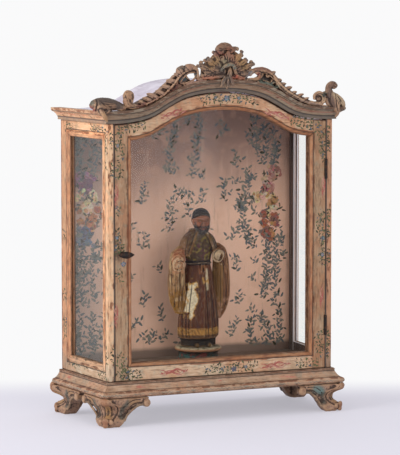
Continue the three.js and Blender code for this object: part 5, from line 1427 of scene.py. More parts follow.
class SHRINE_OT_figurine(bpy.types.Operator):
    """Shape the figurine: its plinth, robe, shoulder cape, mantles and head"""

    bl_idname = "shrine.figurine"
    bl_label = "Figurine"

    MIDDLE = 10
    FOOT = 41.6
    HEIGHT = 259

    def execute(self, context):
        self.colours = tints(context)
        self.voxel = context.scene.shrine_sizes.figure_voxel
        self.folds = context.scene.shrine_sizes.fold_count
        self.cloth = figure_finish("painted_cloth")
        self.plinth()
        self.robe()
        self.cape()
        self.mantle(-1)
        self.mantle(1)
        self.head()
        return {"FINISHED"}

    def z(self, share):
        return self.FOOT + share * self.HEIGHT

    def done(self, carving, node, slot, grain=1.3, material=None):
        name = node.replace("figure_", "figurine_")
        carving.melt(name, self.voxel * grain, material or self.cloth, "case", slot, node)

    def plinth(self):
        c = Carving()
        profile = [
            (0.93, 0), (0.93, 0.13), (0.885, 0.2), (0.85, 0.36), (0.845, 0.55), (0.89, 0.68), (0.965, 0.75),
            (0.998, 0.84), (0.985, 0.93), (0.93, 0.985), (0.85, 0.995),
        ]
        rings = []
        for r, up, _ in smooth([(a * 44, b * 28.6, 0) for a, b in profile], 44):
            angles = circle(96)
            rings.append(np.column_stack([r * np.cos(angles), self.MIDDLE + r * np.sin(angles),
                np.full(96, FLOOR_TOP + up)]))
        c.rings(rings)
        for up in (4.6, 19.2, 22.2):
            round_line = np.linspace(0, 2 * math.pi, 49)
            ring = [(math.cos(a) * 40.5, self.MIDDLE + math.sin(a) * 40.5, FLOOR_TOP + up) for a in round_line]
            c.cuts.append((np.array(ring), 0.7, 0.8))
        c.dyes = [
            (EVERYWHERE, "#33352c"),
            (blotch(9, 1, 0.12, 0.1) * level(13, 33), "#7a3b35"),
            (blotch(8, 2, 0.16, 0.1) * level(13, 33), "#2d4f4d"),
            (level(34.4, 38.6, 1), "#96674f"),
            (level(38.2, 60, 1), "#a3977f"),
            (level(38, 60, 1) * blotch(7, 3, 0.1, 0.1), "#55543f"),
            (level(31.5, 34, 0.8), "#2a1d18"),
        ]
        self.done(c, "figure_plinth", "plinth")

    def robe(self):
        c = Carving()
        levels = [
            (0, 34, 26), (0.045, 34, 26), (0.058, 35, 27.5), (0.066, 37.4, 29), (0.12, 38.6, 30), (0.28, 36, 28),
            (0.42, 31, 25), (0.53, 27, 22), (0.588, 23.4, 19.4), (0.6, 23, 19), (0.615, 23.4, 19.4), (0.7, 27.3, 20.4),
            (0.76, 29, 19.5), (0.81, 20, 15.5), (0.835, 11.5, 11.5),
        ]
        rows = smooth([(s * self.HEIGHT, w, d) for s, w, d in levels], 250)
        angles = circle(300)
        drift = np.array([noise.noise(Vector((math.cos(a) * 1.4, math.sin(a) * 1.4, 0.3))) for a in angles])
        rings = []
        for up, wide, deep in rows:
            share = up / self.HEIGHT
            skirt = max(0, min(1, (0.585 - share) / 0.2)) * min(1, max(0, (share - 0.062) / 0.01))
            phase = self.folds * (angles + 0.16 * drift + 0.05 * math.sin(share * 9))
            phase = phase + 0.8 * np.sin(2 * angles + 5 * share)
            pleat = 1 - np.abs(np.sin(phase / 2)) ** 0.7 * 1.6
            second = np.sin(phase * 2.3 + 3 * drift + share * 11)
            chest = 0.35 if share > 0.62 else 0
            wave = 1 + (2 * skirt * pleat + 0.5 * skirt * second + chest * np.sin(phase * 1.5)) / wide
            rings.append(np.column_stack([wide * wave * np.cos(angles), self.MIDDLE + deep * wave * np.sin(angles),
                np.full(300, self.z(share))]))
        c.rings(rings)
        belt = [
            (23.9 * math.cos(a), self.MIDDLE + 20 * math.sin(a), self.z(0.605) + 0.8 * math.sin(3 * a), 2)
            for a in np.linspace(-0.2, 2 * math.pi - 0.1, 40)
        ]
        c.roll(belt, 0.7, (0, 0, 1), 10, 2.5)
        for x, foot in ((-3, 0.545), (3.5, 0.53)):
            c.roll([(x * 0.5, -10.4, self.z(0.6), 2), (x, -12.6, self.z(0.57), 1.9),
                (x * 1.3, -14, self.z(foot), 1.4)], 0.7)
        for x in (-13, 11):
            c.roll([(x, -8, 45, 4.4), (x * 1.05, -15, 44.8, 4.6), (x * 1.1, -19.5, 44.4, 3.4)], 1, (0, 0, 1))
        for x in (-9.5, -1.5, 7):
            c.cut([(x, -30, 236), (x * 0.9, -30, 222), (x * 0.8, -30, 205)], 0.9, 1)
        front = before(self.MIDDLE)

        def from_flake(p):
            """How far a point is from the middle of the large flake, along a ragged oval."""
            x, _, z = p.T
            ragged = cloud(p, 11, 4) * 8 + cloud(p, 3.4, 5) * 3
            return np.hypot((x + 22.5 - (z - 132) * 0.16) / 9.5, (z - 131) / 27) * 9.5 + ragged

        def hem(size, seed):
            """The gold band over the skirt's foot, with an uneven edge."""
            return Rule(lambda p: between(p[:, 2] + cloud(p, size, seed) * 1.5, 64, 77, 1))

        c.dyes = [
            (EVERYWHERE, self.colours["robe"]),
            (blotch(4, 6, 0.15, 0.2, 0.25) * 0.6, "#3c2626"),
            (blotch(3, 7, 0.22, 0.15, 0.3) * 0.5, "#74543f"),
            (level(199, 300, 4) * 0.9, "#43362a"),
            (level(203, 250, 3) * blotch(6, 8, 0.18, 0.12), "#74622f"),
            (level(200, 236, 3) * blotch(7, 9, 0.16, 0.12), "#57363c"),
            (level(178, 195, 3) * beside(1, 9, 2) * 0.6, "#8a5230"),
            (level(195, 203, 2), "#262a30"),
            (Rule(lambda p: between(from_flake(p), 7.4, 11.4, 1.2)) * front, self.colours["gold"]),
            (Rule(lambda p: between(from_flake(p), -99, 9, 1.2)) * front, "#cfbf9f"),
            (level(5.5, 10.5, 1.5, 0) * level(148, 187, 5) * front * 0.9, "#d6c39f"),
            (level(-2, 12, 2, 0) * level(160, 172, 3) * front * blotch(4, 3, 0.1, 0.2), self.colours["gold"]),
            (hem(6, 1), "#a97b3e"),
            (hem(5, 2) * blotch(4, 5, 0.05, 0.2) * 0.7, "#6d4526"),
            (level(57.5, 64, 1), "#5c3f2b"),
            (level(0, 57.5, 1), "#161414"),
        ]
        self.done(c, "figure_robe", "robe", 1.35)

    def cape(self):
        c = Carving()
        levels = [
            (0.845, 14, 13.8), (0.825, 20.3, 17.3), (0.79, 30.2, 22.2), (0.74, 36.2, 25.2), (0.69, 39.2, 26.7),
            (0.657, 39.6, 26.4),
        ]
        opening = 0.6
        rings, rows = [], smooth([(s * self.HEIGHT, w, d) for s, w, d in levels], 40)
        for up, wide, deep in rows:
            share = up / self.HEIGHT
            widen = opening * (0.75 + (0.842 - share) * 2.6)
            angles = np.linspace(-math.pi / 2 + widen, 1.5 * math.pi - widen, 90)
            ripple = 1 + 0.9 * np.sin(angles * 9 + share * 20) * max(0, (0.8 - share) / 0.14) / wide
            outer = np.column_stack([wide * ripple * np.cos(angles), self.MIDDLE + deep * ripple * np.sin(angles),
                np.full(90, self.z(share))])
            inner = np.column_stack([(wide - 3.6) * np.cos(angles), self.MIDDLE + (deep - 3.6) * np.sin(angles),
                np.full(90, self.z(share))])[::-1]
            rings.append(np.vstack([outer, inner]))
        c.rings(rings)
        for side in (-1, 1):
            stops = []
            for up, wide, deep in rows[::5]:
                share = up / self.HEIGHT
                widen = opening * (0.75 + (0.842 - share) * 2.6)
                a = -math.pi / 2 + side * widen
                stops.append(((wide - 1) * math.cos(a), self.MIDDLE + (deep - 1) * math.sin(a) - 0.6, self.z(share),
                    2.9))
            c.roll(stops, 0.9)
        collar = [
            (15.2 * math.cos(a), self.MIDDLE + 14 * math.sin(a) - 0.5, self.z(0.838) - 4.5 * max(0, -math.sin(a)), 3)
            for a in np.linspace(-math.pi / 2 + 0.75, 1.5 * math.pi - 0.75, 22)
        ]
        c.roll(collar, 1, (0, 0, 1))
        for a in (-2.55, -2.2, -0.95, -0.6, 0.1, 0.8, 1.6, 2.4, 3):
            c.cut([
                ((w + 0.5) * math.cos(a), self.MIDDLE + (d + 0.5) * math.sin(a), self.z(s)) for s, w, d in levels[1:]
            ], 1, 1.5)

        def edging(side, slope, half):
            """The strip along the cape's open front on one side."""
            def strip(p):
                away = np.abs(p[:, 0] - (258 - p[:, 2]) * slope)
                return between(away, -1, half, 2) * (p[:, 0] * side > 0)

            return Rule(strip)

        c.dyes = [
            (EVERYWHERE, "#372013"),
            (blotch(7, 3, 0.14, 0.15) * 0.7, "#5f4a2c"),
            (blotch(6, 4, 0.2, 0.12) * 0.6, "#4a3424"),
            (blotch(9, 5, 0.22, 0.12) * 0.6, "#5c3c3a"),
            (Rule(lambda p: between(p[:, 2] + cloud(p, 6, 7) * 3, 0, 215.5, 2)) * 0.8, "#86653f"),
            (edging(-1, -0.34, 4.5) * before(0) * 0.9, "#8a6a4a"),
            (edging(1, 0.42, 3.5) * before(0) * 0.7, "#8f7c62"),
            (level(-60, -29, 6, 0) * level(205, 246, 5) * 0.65, "#86644a"),
            (level(14, 30, 4, 0) * level(222, 242, 4) * before(0) * 0.3, "#6f655c"),
        ]
        self.done(c, "figure_cape", "mantle", 1.15)

    def mantle(self, side):
        c = Carving()
        if side < 0:
            levels = [
                (0.71, 39, 3, 8, 9, 0), (0.68, 43, 5, 13, 12, 0.6), (0.62, 45.5, 7, 15, 13, 1.2),
                (0.55, 46.5, 7, 15.4, 12, 1.8), (0.46, 46.5, 6, 16, 11, 2.2), (0.38, 45, 5, 16, 10, 2.2),
                (0.31, 42, 4, 14.5, 9, 1.6), (0.24, 37.5, 3, 10, 6, 0.6),
            ]
            arm = [(36, 0, 0.7, 9), (44, 10, 0.672, 11.5), (49, 19, 0.636, 13), (50, 25, 0.606, 11.5), (50, 28, 0.6, 9)]
        else:
            levels = [
                (0.74, 35, -2, 8, 9, 0), (0.7, 42, -1, 14, 11, 0.6), (0.62, 46.5, 0, 15.5, 12, 1.2),
                (0.52, 47.4, 0, 16.6, 12, 1.8), (0.42, 47.2, 0, 17, 11, 2.2), (0.33, 45, 0, 17, 10, 2.2),
                (0.25, 41, 0, 14.5, 8, 1.6), (0.19, 37, 0, 9, 5, 0.6),
            ]
            arm = [(40, 2, 0.69, 9), (38, 14, 0.675, 10), (33, 23, 0.664, 9.8), (30, 28, 0.655, 9)]
        rings = []
        for s, x, y, wide, deep, fold in smooth([(s * self.HEIGHT, *rest) for s, *rest in levels], 90):
            angles = circle(96)
            billow = np.abs(np.cos(2.5 * angles + 0.3 + s * 0.012)) * 1.6 - 1
            wave = 1 + (fold / wide) * billow + 0.2 * fold / wide * np.sin(7 * angles + s * 0.06)
            rings.append(np.column_stack([side * x + wide * wave * np.cos(angles),
                self.MIDDLE - y + deep * wave * np.sin(angles), np.full(96, self.FOOT + s)]))
        c.rings(rings)
        c.roll([(side * x, self.MIDDLE - y, self.z(s), r) for x, y, s, r in arm], 1)
        x, y, s, r = arm[-1]
        ring = [
            (side * x + (r + 1.5) * math.cos(a), self.MIDDLE - y + 5, self.z(s) + (r + 2.5) * math.sin(a) + 1, 2)
            for a in np.linspace(0, 2 * math.pi, 22)
        ]
        c.roll(ring, 1, (0, 1, 0), 10)
        for k, x in enumerate((36, 44.5, 53) if side < 0 else (40, 47, 55)):
            c.cut([(side * x, self.z(0.62 - 0.01 * k)), (side * (x + 0.8), self.z(0.48)),
                (side * (x * 0.8 + 10), self.z(0.28 + 0.006 * k))], 0.8, 1)
        middle, front = self.MIDDLE, before(self.MIDDLE)

        def cuff(p):
            """The pale lining at the right sleeve's mouth."""
            away = np.hypot(p[:, 0] - 30, p[:, 2] - 211)
            return between(away + (p[:, 1] > middle - 12) * 40, -1, 12, 3)

        def sleeve_hole_shade(p):
            """Painted shade standing for the dark opening inside the lining."""
            away = np.hypot((p[:, 0] - 33) / 2.4, (p[:, 2] - 209) / 7) * 3
            return between(away + (p[:, 1] > middle - 20) * 40, -1, 3.4, 1)

        if side < 0:
            c.dyes = [
                (EVERYWHERE, "#94704c"),
                (blotch(4.4, 2, 0.1, 0.2, 0.2) * 0.7, "#b79c74"),
                (blotch(3, 5, 0.16, 0.12, 0.2) * 0.8, "#5b3c28"),
                (level(100, 150, 8) * blotch(9, 3, -0.25, 0.3) * 0.85, "#80561f"),
                (level(-80, middle - 12, 4, 1) * level(180, 226, 4), "#aa7b58"),
                (level(-80, middle - 12, 4, 1) * level(204, 232, 4) * blotch(6, 8, -0.2, 0.3), "#8f553c"),
                (level(-80, middle - 16, 4, 1) * level(184, 212, 4) * blotch(7, 9, 0, 0.2), "#bd9d7c"),
            ]
        else:
            c.dyes = [
                (EVERYWHERE, "#74492f"),
                (blotch(4.4, 2, 0.12, 0.2, 0.2) * 0.6, "#936a49"),
                (blotch(3, 5, 0.14, 0.12, 0.2) * 0.8, "#4a2d22"),
                (level(20, 46, 4, 0) * level(110, 205, 8) * front * 0.6, "#735528"),
                (level(85, 130, 5) * blotch(8, 6, 0, 0.2) * 0.8, "#a0755a"),
                (cuff, "#b39c7e"),
                # Painted shade in the sleeve's mouth.
                (sleeve_hole_shade, "#3d241c"),
                (beside(43, 2.5, 1.5) * level(196, 224, 4) * front, "#3a1f1d"),
            ]
        self.done(c, "figure_mantle_left" if side < 0 else "figure_mantle_right", "mantle", 1.1)

    def head(self):
        turn, nod = math.radians(-9), math.radians(8)
        centre = np.array([3.2, self.MIDDLE - 7, self.z(0.91)])
        yaw = np.array([[math.cos(turn), -math.sin(turn), 0], [math.sin(turn), math.cos(turn), 0], [0, 0, 1]])
        pitch = np.array([[1, 0, 0], [0, math.cos(nod), -math.sin(nod)], [0, math.sin(nod), math.cos(nod)]])
        spin = yaw @ pitch

        def shape(rows):
            return np.asarray(rows, float) @ spin.T + centre

        def local(rows):
            return (rows - centre) @ spin

        c = Carving(shape)
        for middle, radii in (
            ((0, 1, 3), (15.6, 17.6, 18.2)), ((0, -2.6, -5), (12.6, 13, 16.4)), ((0, -8.6, -15), (7.4, 7, 5.8)),
            ((0, 3.5, 8), (16.8, 17, 15.2)), ((0, 8, 0), (16.8, 12.6, 17.5)), ((-14.6, 2.5, 2), (3.2, 8.5, 10)),
            ((14.6, 2.5, 2), (3.2, 8.5, 10)), ((0, -11.5, -17.8), (7.8, 7.2, 7.6)),
        ):
            c.lump(middle, radii)
        each(c.roll,
            ([(-9.4, -12.6, 5.2, 1.6), (-5, -14.8, 6, 1.8), (0, -15.6, 5.2, 1.7), (5, -14.8, 6, 1.8),
                (9.4, -12.6, 5.2, 1.6)], 1),
            ([(0, -15.2, 4.8, 1.5), (0, -17.2, -0.5, 1.7), (0, -19, -4.6, 2.3)], 1))
        for s in (-1, 1):
            c.lump((2.3 * s, -16.6, -5.2), (1.8, 2, 1.6))
            c.lump((7.8 * s, -11, -3.6), (4.6, 3.8, 4.4))
            c.lump((5.9 * s, -13, 1.4), (3.1, 2.3, 2.2))
            c.roll([(9 * s, -12.2, 1.2, 0.6), (6.6 * s, -14.6, 3.3, 0.85), (3.2 * s, -14.2, 1.6, 0.6)])
            c.roll([(8.6 * s, -12.2, 0.4, 0.5), (6 * s, -14.4, -0.9, 0.7), (3.4 * s, -14, 0.8, 0.5)])
            c.cut([(9.2 * s, -13.2, 4), (6 * s, -14.8, 4.4), (3 * s, -14.6, 3.6)], 0.9, 0.9)
            c.cut([(8.8 * s, -13, 0.8), (6 * s, -15.2, 0.9), (3.6 * s, -14.6, 1.1)], 0.5, 0.5)
            c.cut([(2.6 * s, -16, -2.6), (4 * s, -15.6, -6), (6.6 * s, -13.8, -9.6)], 0.6, 1.1)
            c.roll([(15.8 * s, -0.6, 3.2, 1.3), (17.2 * s, 2.4, 3.6, 1.5), (17 * s, 3, -1.6, 1.4),
                (15.4 * s, 0, -5.6, 1.3)], 0.9, (1, 0, 0))
            c.roll([(14 * s, -2.5, -3, 2.6), (12 * s, -6.5, -10.5, 3.4), (7.4 * s, -11, -16.5, 4.4),
                (2 * s, -13.5, -19.5, 4.6)])
            c.roll([(6.4 * s, -14.4, -12.4, 0.9), (3.6 * s, -16.8, -9.6, 1.3), (0.4 * s, -17.6, -8.6, 1.2)])
        each(c.roll, ([(-4, -15.6, -11.2, 0.7), (0, -17, -10.9, 1), (4, -15.6, -11.2, 0.7)], 1),
            ([(-3.4, -15.5, -12.6, 0.8), (0, -16.9, -13, 1.25), (3.4, -15.5, -12.6, 0.8)], 1))
        c.cut([(-4.4, -16.2, -11.8), (0, -18, -11.8), (4.4, -16.2, -11.8)], 0.7, 0.55)
        each(c.roll,
            ([(-14.6, -5, 9.5, 1.4), (-12, -8.6, 12.8, 2), (-7, -11.2, 15.6, 2.4), (0, -12.2, 16.4, 2.4),
                (7, -11.2, 15.6, 2.4), (12, -8.6, 12.8, 2), (14.6, -5, 9.5, 1.4)], 1),
            ([(0, 2, -16, 9.2), (0, 4.5, -26, 9.4), (0, 6, -33, 9.6)], 1))
        rows = random.Random(7)
        for _ in range(90):
            a, b = rows.uniform(0, 2 * math.pi), rows.uniform(-0.25, 1.5)
            line = []
            for t in (-1, 0, 1):
                u, v = a + 0.14 * t, b + 0.13 * t * t + 0.05
                line.append((18.2 * math.cos(v) * math.sin(u), 3 + 18.6 * math.cos(v) * math.cos(u),
                    6 + 17 * math.sin(v)))
            if line[1][1] > -11 or line[1][2] > 13:
                c.cut(line, 0.75, 0.75, 6)
        for x in np.linspace(-10, 10, 11):
            c.cut([(x, -14 + abs(x) * 0.5, -13.8 - abs(x) * 0.1), (x * 0.82, -18 + abs(x) * 0.4, -19),
                (x * 0.6, -15, -24.5)], 0.65, 0.7, 8)

        def facing(rule):
            """A rule of the head's own x, y and z."""
            return lambda points: rule(*local(points).T)

        @facing
        def hair(x, y, z):
            crown = np.maximum(z - (12.6 - 0.03 * x * x), y - 5 + np.clip(z - 1, -9, 0) * 0.9)
            return np.clip(crown / 1.2 + 0.5, 0, 1) * np.clip((z + 15) / 2, 0, 1)

        @facing
        def beard(x, y, z):
            jaw = -13.6 - z + np.clip(np.abs(x) - 4.5, 0, 9) * 0.85
            lips = np.hypot(x / 4.4, (z + 12) / 1.8) < 1
            lip_hair = between(z, -10.6, -8, 0.7) * (np.abs(x) < 7) * (y < -12)
            return np.clip(np.clip(jaw / 1.2 + 0.5, 0, 1) * (z > -27) * (y < 1.5) + lip_hair, 0, 1) * ~lips

        @facing
        def pupils(x, y, z):
            eyes = [between(np.hypot((x - s * 6) / 1.5, z - 0.9), -1, 1.1, 0.5) for s in (-1, 1)]
            return np.maximum(*eyes) * (y < -13) * 0.8

        @facing
        def brows(x, y, z):
            rise = z - 6.2 + 0.03 * (np.abs(x) - 6) ** 2
            arcs = [between(np.hypot((x - s * 6) / 4, rise / 0.8), -1, 1, 0.4) for s in (-1, 1)]
            return np.maximum(*arcs) * (y < -10) * 0.75

        c.dyes = [
            (EVERYWHERE, self.colours["skin"]),
            (facing(lambda x, y, z: between(np.hypot(np.abs(x) - 7.5, z + 4), -1, 4, 2) * (y < -8) * 0.35), "#b0604a"),
            (facing(lambda x, y, z: between(z, -99, -25, 3) * 0.8), "#b5755a"),
            (facing(lambda x, y, z: (np.hypot(x / 4.2, (z + 11.9) / 1.9) < 1) * (y < -12) * 0.8), "#8d4338"),
            (beard, "#24262b"),
            (hair, "#1e242b"),
            (pupils, "#2a1a14"),
            (brows, "#33221c"),
        ]
        self.done(c, "figure_head", "head", 1, figure_finish("painted_head", 0.15, 0.08))


# Painted motifs
def spray_tree():
    """Leaves that lean out of a stem to either side by turns, as a tree of geometry nodes."""
    tree = bpy.data.node_groups.new("leaf_spray", "GeometryNodeTree")
    tree.interface.new_socket("Stems", in_out="INPUT", socket_type="NodeSocketGeometry")
    for name, kind in (
        ("Leaf length", "Float"), ("Leaf width", "Float"), ("Spacing", "Float"), ("Lean", "Float"),
        ("Thickness", "Float"), ("Stem width", "Float"),
        ("Face", "Vector"), ("Seed", "Int"), ("Paint", "Material"),
    ):
        tree.interface.new_socket(name, in_out="INPUT", socket_type="NodeSocket" + kind)
    tree.interface.new_socket("Spray", in_out="OUTPUT", socket_type="NodeSocketGeometry")
    start = tree.nodes.new("NodeGroupInput")
    inputs = [Term(tree, socket) for socket in start.outputs[:10]]
    stems, length, width, pitch, lean, thick, line, face, seed, paint = inputs

    def chance(low, high, shift):
        return stems.node("FunctionNodeRandomValue", {"data_type": "FLOAT"}, {2: low, 3: high, 8: seed + shift}, 1)

    path = stems.node("GeometryNodeMeshToCurve", None, {"Mesh": stems})
    dots = stems.node("GeometryNodeResampleCurve", {"mode": "LENGTH"}, {"Curve": path, "Length": pitch})
    way = stems.node("GeometryNodeInputTangent")
    order = stems.node("GeometryNodeInputIndex")
    side = order.math("MODULO", order, 2) * 2 - 1
    angle = side * lean + chance(-0.35, 0.35, 1)
    aim = stems.node("VectorRotate", {"rotation_type": "AXIS_ANGLE"}, {"Vector": way, "Axis": face, "Angle": angle})
    axes = {"primary_axis": "Y", "secondary_axis": "Z"}
    turn = stems.node("FunctionNodeAxesToRotation", axes, {"Primary Axis": aim, "Secondary Axis": face})
    disc = stems.node("GeometryNodeMeshCylinder", {"fill_type": "NGON"}, {"Vertices": 10, "Side Segments": 1,
        "Radius": 1, "Depth": 1})
    x, y, z = stems.node("GeometryNodeInputPosition").split()
    lens = {0: x * width * (1 - y * 0.3) * 0.5, 1: (y + 1.15) * length * 0.5, 2: z * thick}
    shaped = stems.node("CombineXYZ", None, lens)
    blade = stems.node("GeometryNodeSetPosition", None, {"Geometry": disc, "Position": shaped})
    grown = stems.node("GeometryNodeInstanceOnPoints", None, {"Points": dots, "Instance": blade, "Rotation": turn,
        "Scale": chance(0.6, 1.2, 2)})
    hued = stems.node(
        "GeometryNodeStoreNamedAttribute", {"data_type": "FLOAT", "domain": "INSTANCE"},
        {"Geometry": grown, "Name": "hue", "Value": chance(0, 1, 3)},
    )
    round_line = stems.node("GeometryNodeCurvePrimitiveCircle", None, {"Resolution": 4, "Radius": line})
    stalk = stems.node("GeometryNodeCurveToMesh", None, {"Curve": path, "Profile Curve": round_line, "Fill Caps": True})
    both = tree.nodes.new("GeometryNodeJoinGeometry")
    tree.links.new(hued.socket, both.inputs[0])
    tree.links.new(stalk.socket, both.inputs[0])
    real = stems.node("GeometryNodeRealizeInstances", None, {"Geometry": Term(tree, both.outputs[0])})
    painted = stems.node("GeometryNodeSetMaterial", None, {"Geometry": real, "Material": paint})
    finish = tree.nodes.new("NodeGroupOutput")
    tree.links.new(painted.socket, finish.inputs[0])
    return tree


def grow(tree, name, stems, face, paint, **sizes):
    """The spray of a list of stems, each a line of scene points, as plain mesh."""
    points, edges = [], []
    for stem in stems:
        base = len(points)
        points.extend(stem)
        edges.extend((base + i, base + i + 1) for i in range(len(stem) - 1))
    mesh = bpy.data.meshes.new(name + "_stems")
    mesh.from_pydata(points, edges, [])
    thing = added(name, mesh)
    modifier = thing.modifiers.new("spray", "NODES")
    modifier.node_group = tree
    values = {"Face": face, "Paint": paint, **{key.replace("_", " ").capitalize(): value for key,
        value in sizes.items()}}
    for item in tree.interface.items_tree:
        if item.in_out == "INPUT" and item.name in values:
            modifier[item.identifier] = values[item.name]
    made = bpy.data.meshes.new_from_object(thing.evaluated_get(bpy.context.evaluated_depsgraph_get()))
    thing.modifiers.clear()
    thing.data = made
    return thing


class Strokes:
    """Thin slabs of paint on a flat face. corner, across and up place (u, v) millimetres; out is its normal."""

    def __init__(self, corner, across, up, out, lift):
        self.corner, self.across, self.up, self.out = (np.array(v, float) for v in (corner, across, up, out))
        self.lift = lift * 1000
        self.points, self.faces, self.tints = [], [], []
        self.layer = 0

    def place(self, u, v, high):
        return self.corner + self.across * u + self.up * v + self.out * high

    def slab(self, outline, colour):
        self.layer = (self.layer + 1) % 24
        base, count = len(self.points), len(outline)
        top = self.lift * (0.7 + 0.04 * self.layer)
        self.points.extend(self.place(u, v, -0.15) for u, v in outline)
        self.points.extend(self.place(u, v, top) for u, v in outline)
        self.faces.append(tuple(range(base + count, base + 2 * count)))
        self.faces.append(tuple(range(base + count - 1, base - 1, -1)))
        self.faces.extend((base + k, base + (k + 1) % count, base + count + (k + 1) % count,
            base + count + k) for k in range(count))
        self.tints.extend([linear(colour)] * (2 * count))

    def petal(self, u, v, angle, length, width, colour, point=0.3):
        outline = []
        for a in circle(12):
            along = (math.cos(a) + 1) / 2 * length
            over = math.sin(a) * width / 2 * (1 - point * math.cos(a))
            c, s = math.cos(angle), math.sin(angle)
            outline.append((u + along * c - over * s, v + along * s + over * c))
        self.slab(outline, colour)

    def ribbon(self, stops, colour):
        """A brush stroke along (u, v, width)."""
        line = smooth([(u, v, 0, w) for u, v, w in stops], 22)
        way = unit(np.gradient(line[:, :2], axis=0))
        side = np.column_stack([-way[:, 1], way[:, 0]]) * line[:, 3:4] / 2
        for i in range(0, 21, 3):
            j = min(i + 4, 22)
            left, right = line[i:j, :2] + side[i:j], line[i:j, :2] - side[i:j]
            self.slab([*map(tuple, right), *map(tuple, left[::-1])], colour)

    def flower(self, u, v, size, outer, inner, eye, rows, count=6):
        start = rows.uniform(0, 6)
        for ring, (reach, colour) in enumerate(((1, outer), (0.68, inner))):
            for k in range(count):
                a = start + ring * 0.5 + 2 * math.pi * k / count + rows.uniform(-0.15, 0.15)
                shade = tuple(min(1, max(0, c * rows.uniform(0.75, 1.2))) for c in linear(colour))
                self.petal(u, v, a, size * reach * rows.uniform(0.85, 1.1), size * reach * 0.75, shade, -0.25)
        self.petal(u - size * 0.16, v, 0, size * 0.34, size * 0.32, eye, 0)

    def finish(self, name, material, body, slot):
        mesh = bpy.data.meshes.new(name)
        mesh.from_pydata([tuple(p) for p in to_scene(np.array(self.points))], [], self.faces)
        write(mesh, "tint", "FLOAT_COLOR", "color", np.column_stack([self.tints, np.ones(len(self.tints))]))
        mesh.materials.append(material)
        thing = added(name, mesh)
        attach(thing, body)


def stroke_finish(name="brushed_motifs"):
    """Thin distemper strokes, uneven in strength and rubbed away in places."""
    material, place = begin(name)
    tint = place.attribute("tint", "Color")
    cloudy = place.noise(3, 3, 0.6)
    fine = place.noise(0.9, 3, 0.65)
    colour = (cloudy.ease(0.45, 0.65) * 0.35).blend(tint, "#8d6f58")
    kept = (cloudy * 0.5 + fine * 0.5).ease(0.64, 0.56) * 0.94
    return end(material, colour, 0.6 + fine * 0.15, fine * 0.03, Alpha=kept)


def leaf_finish(name, first, second, third, rubbed=0.58):
    """Painted leaves: each takes its own shade between three colours."""
    material, place = begin(name)
    hue = place.attribute("hue")
    cloudy = place.noise(4, 3, 0.6)
    fine = place.noise(0.9, 3, 0.65)
    colour = hue.ease(0.2, 0.6).blend(first, second)
    colour = hue.ease(0.8, 0.95).blend(colour, third)
    kept = (cloudy * 0.45 + fine * 0.55).ease(rubbed + 0.07, rubbed) * 0.92
    return end(material, colour, 0.62 + fine * 0.12, fine * 0.03, Alpha=kept)


def twigs(path, rows, every, reach, spread, bounds, spine=True):
    """A stem on a flat face as (u, v) rows, with short side twigs, kept inside bounds (u0, u1, v0, v1)."""
    whole = np.linalg.norm(np.diff(np.array(path, float), axis=0), axis=1).sum()
    line = smooth([(u, v, 0) for u, v in path], max(4, int(whole / 3)))[:, :2]
    way = unit(np.gradient(line, axis=0))
    stems = [line] if spine else []
    step = max(1, int(every / 3))
    for k, i in enumerate(range(step // 2, len(line) - 1, step)):
        side = (-1) ** k
        a = math.atan2(way[i, 1], way[i, 0]) + side * rows.uniform(0.6, 1.15) * spread
        bend = rows.uniform(-0.5, 0.5)
        long = reach * rows.uniform(0.6, 1.15)
        ways = [(t, np.array([math.cos(a + bend * t), math.sin(a + bend * t)])) for t in (0.12, 0.4, 0.7, 1)]
        stems.append(np.array([line[i] + aim * long * t for t, aim in ways]))
    low, high = np.array(bounds)[[0, 2]], np.array(bounds)[[1, 3]]
    stems = [np.clip(stem, low, high) for stem in stems]
    return [stem for stem in stems if np.linalg.norm(np.diff(stem, axis=0), axis=1).min() > 0.05]


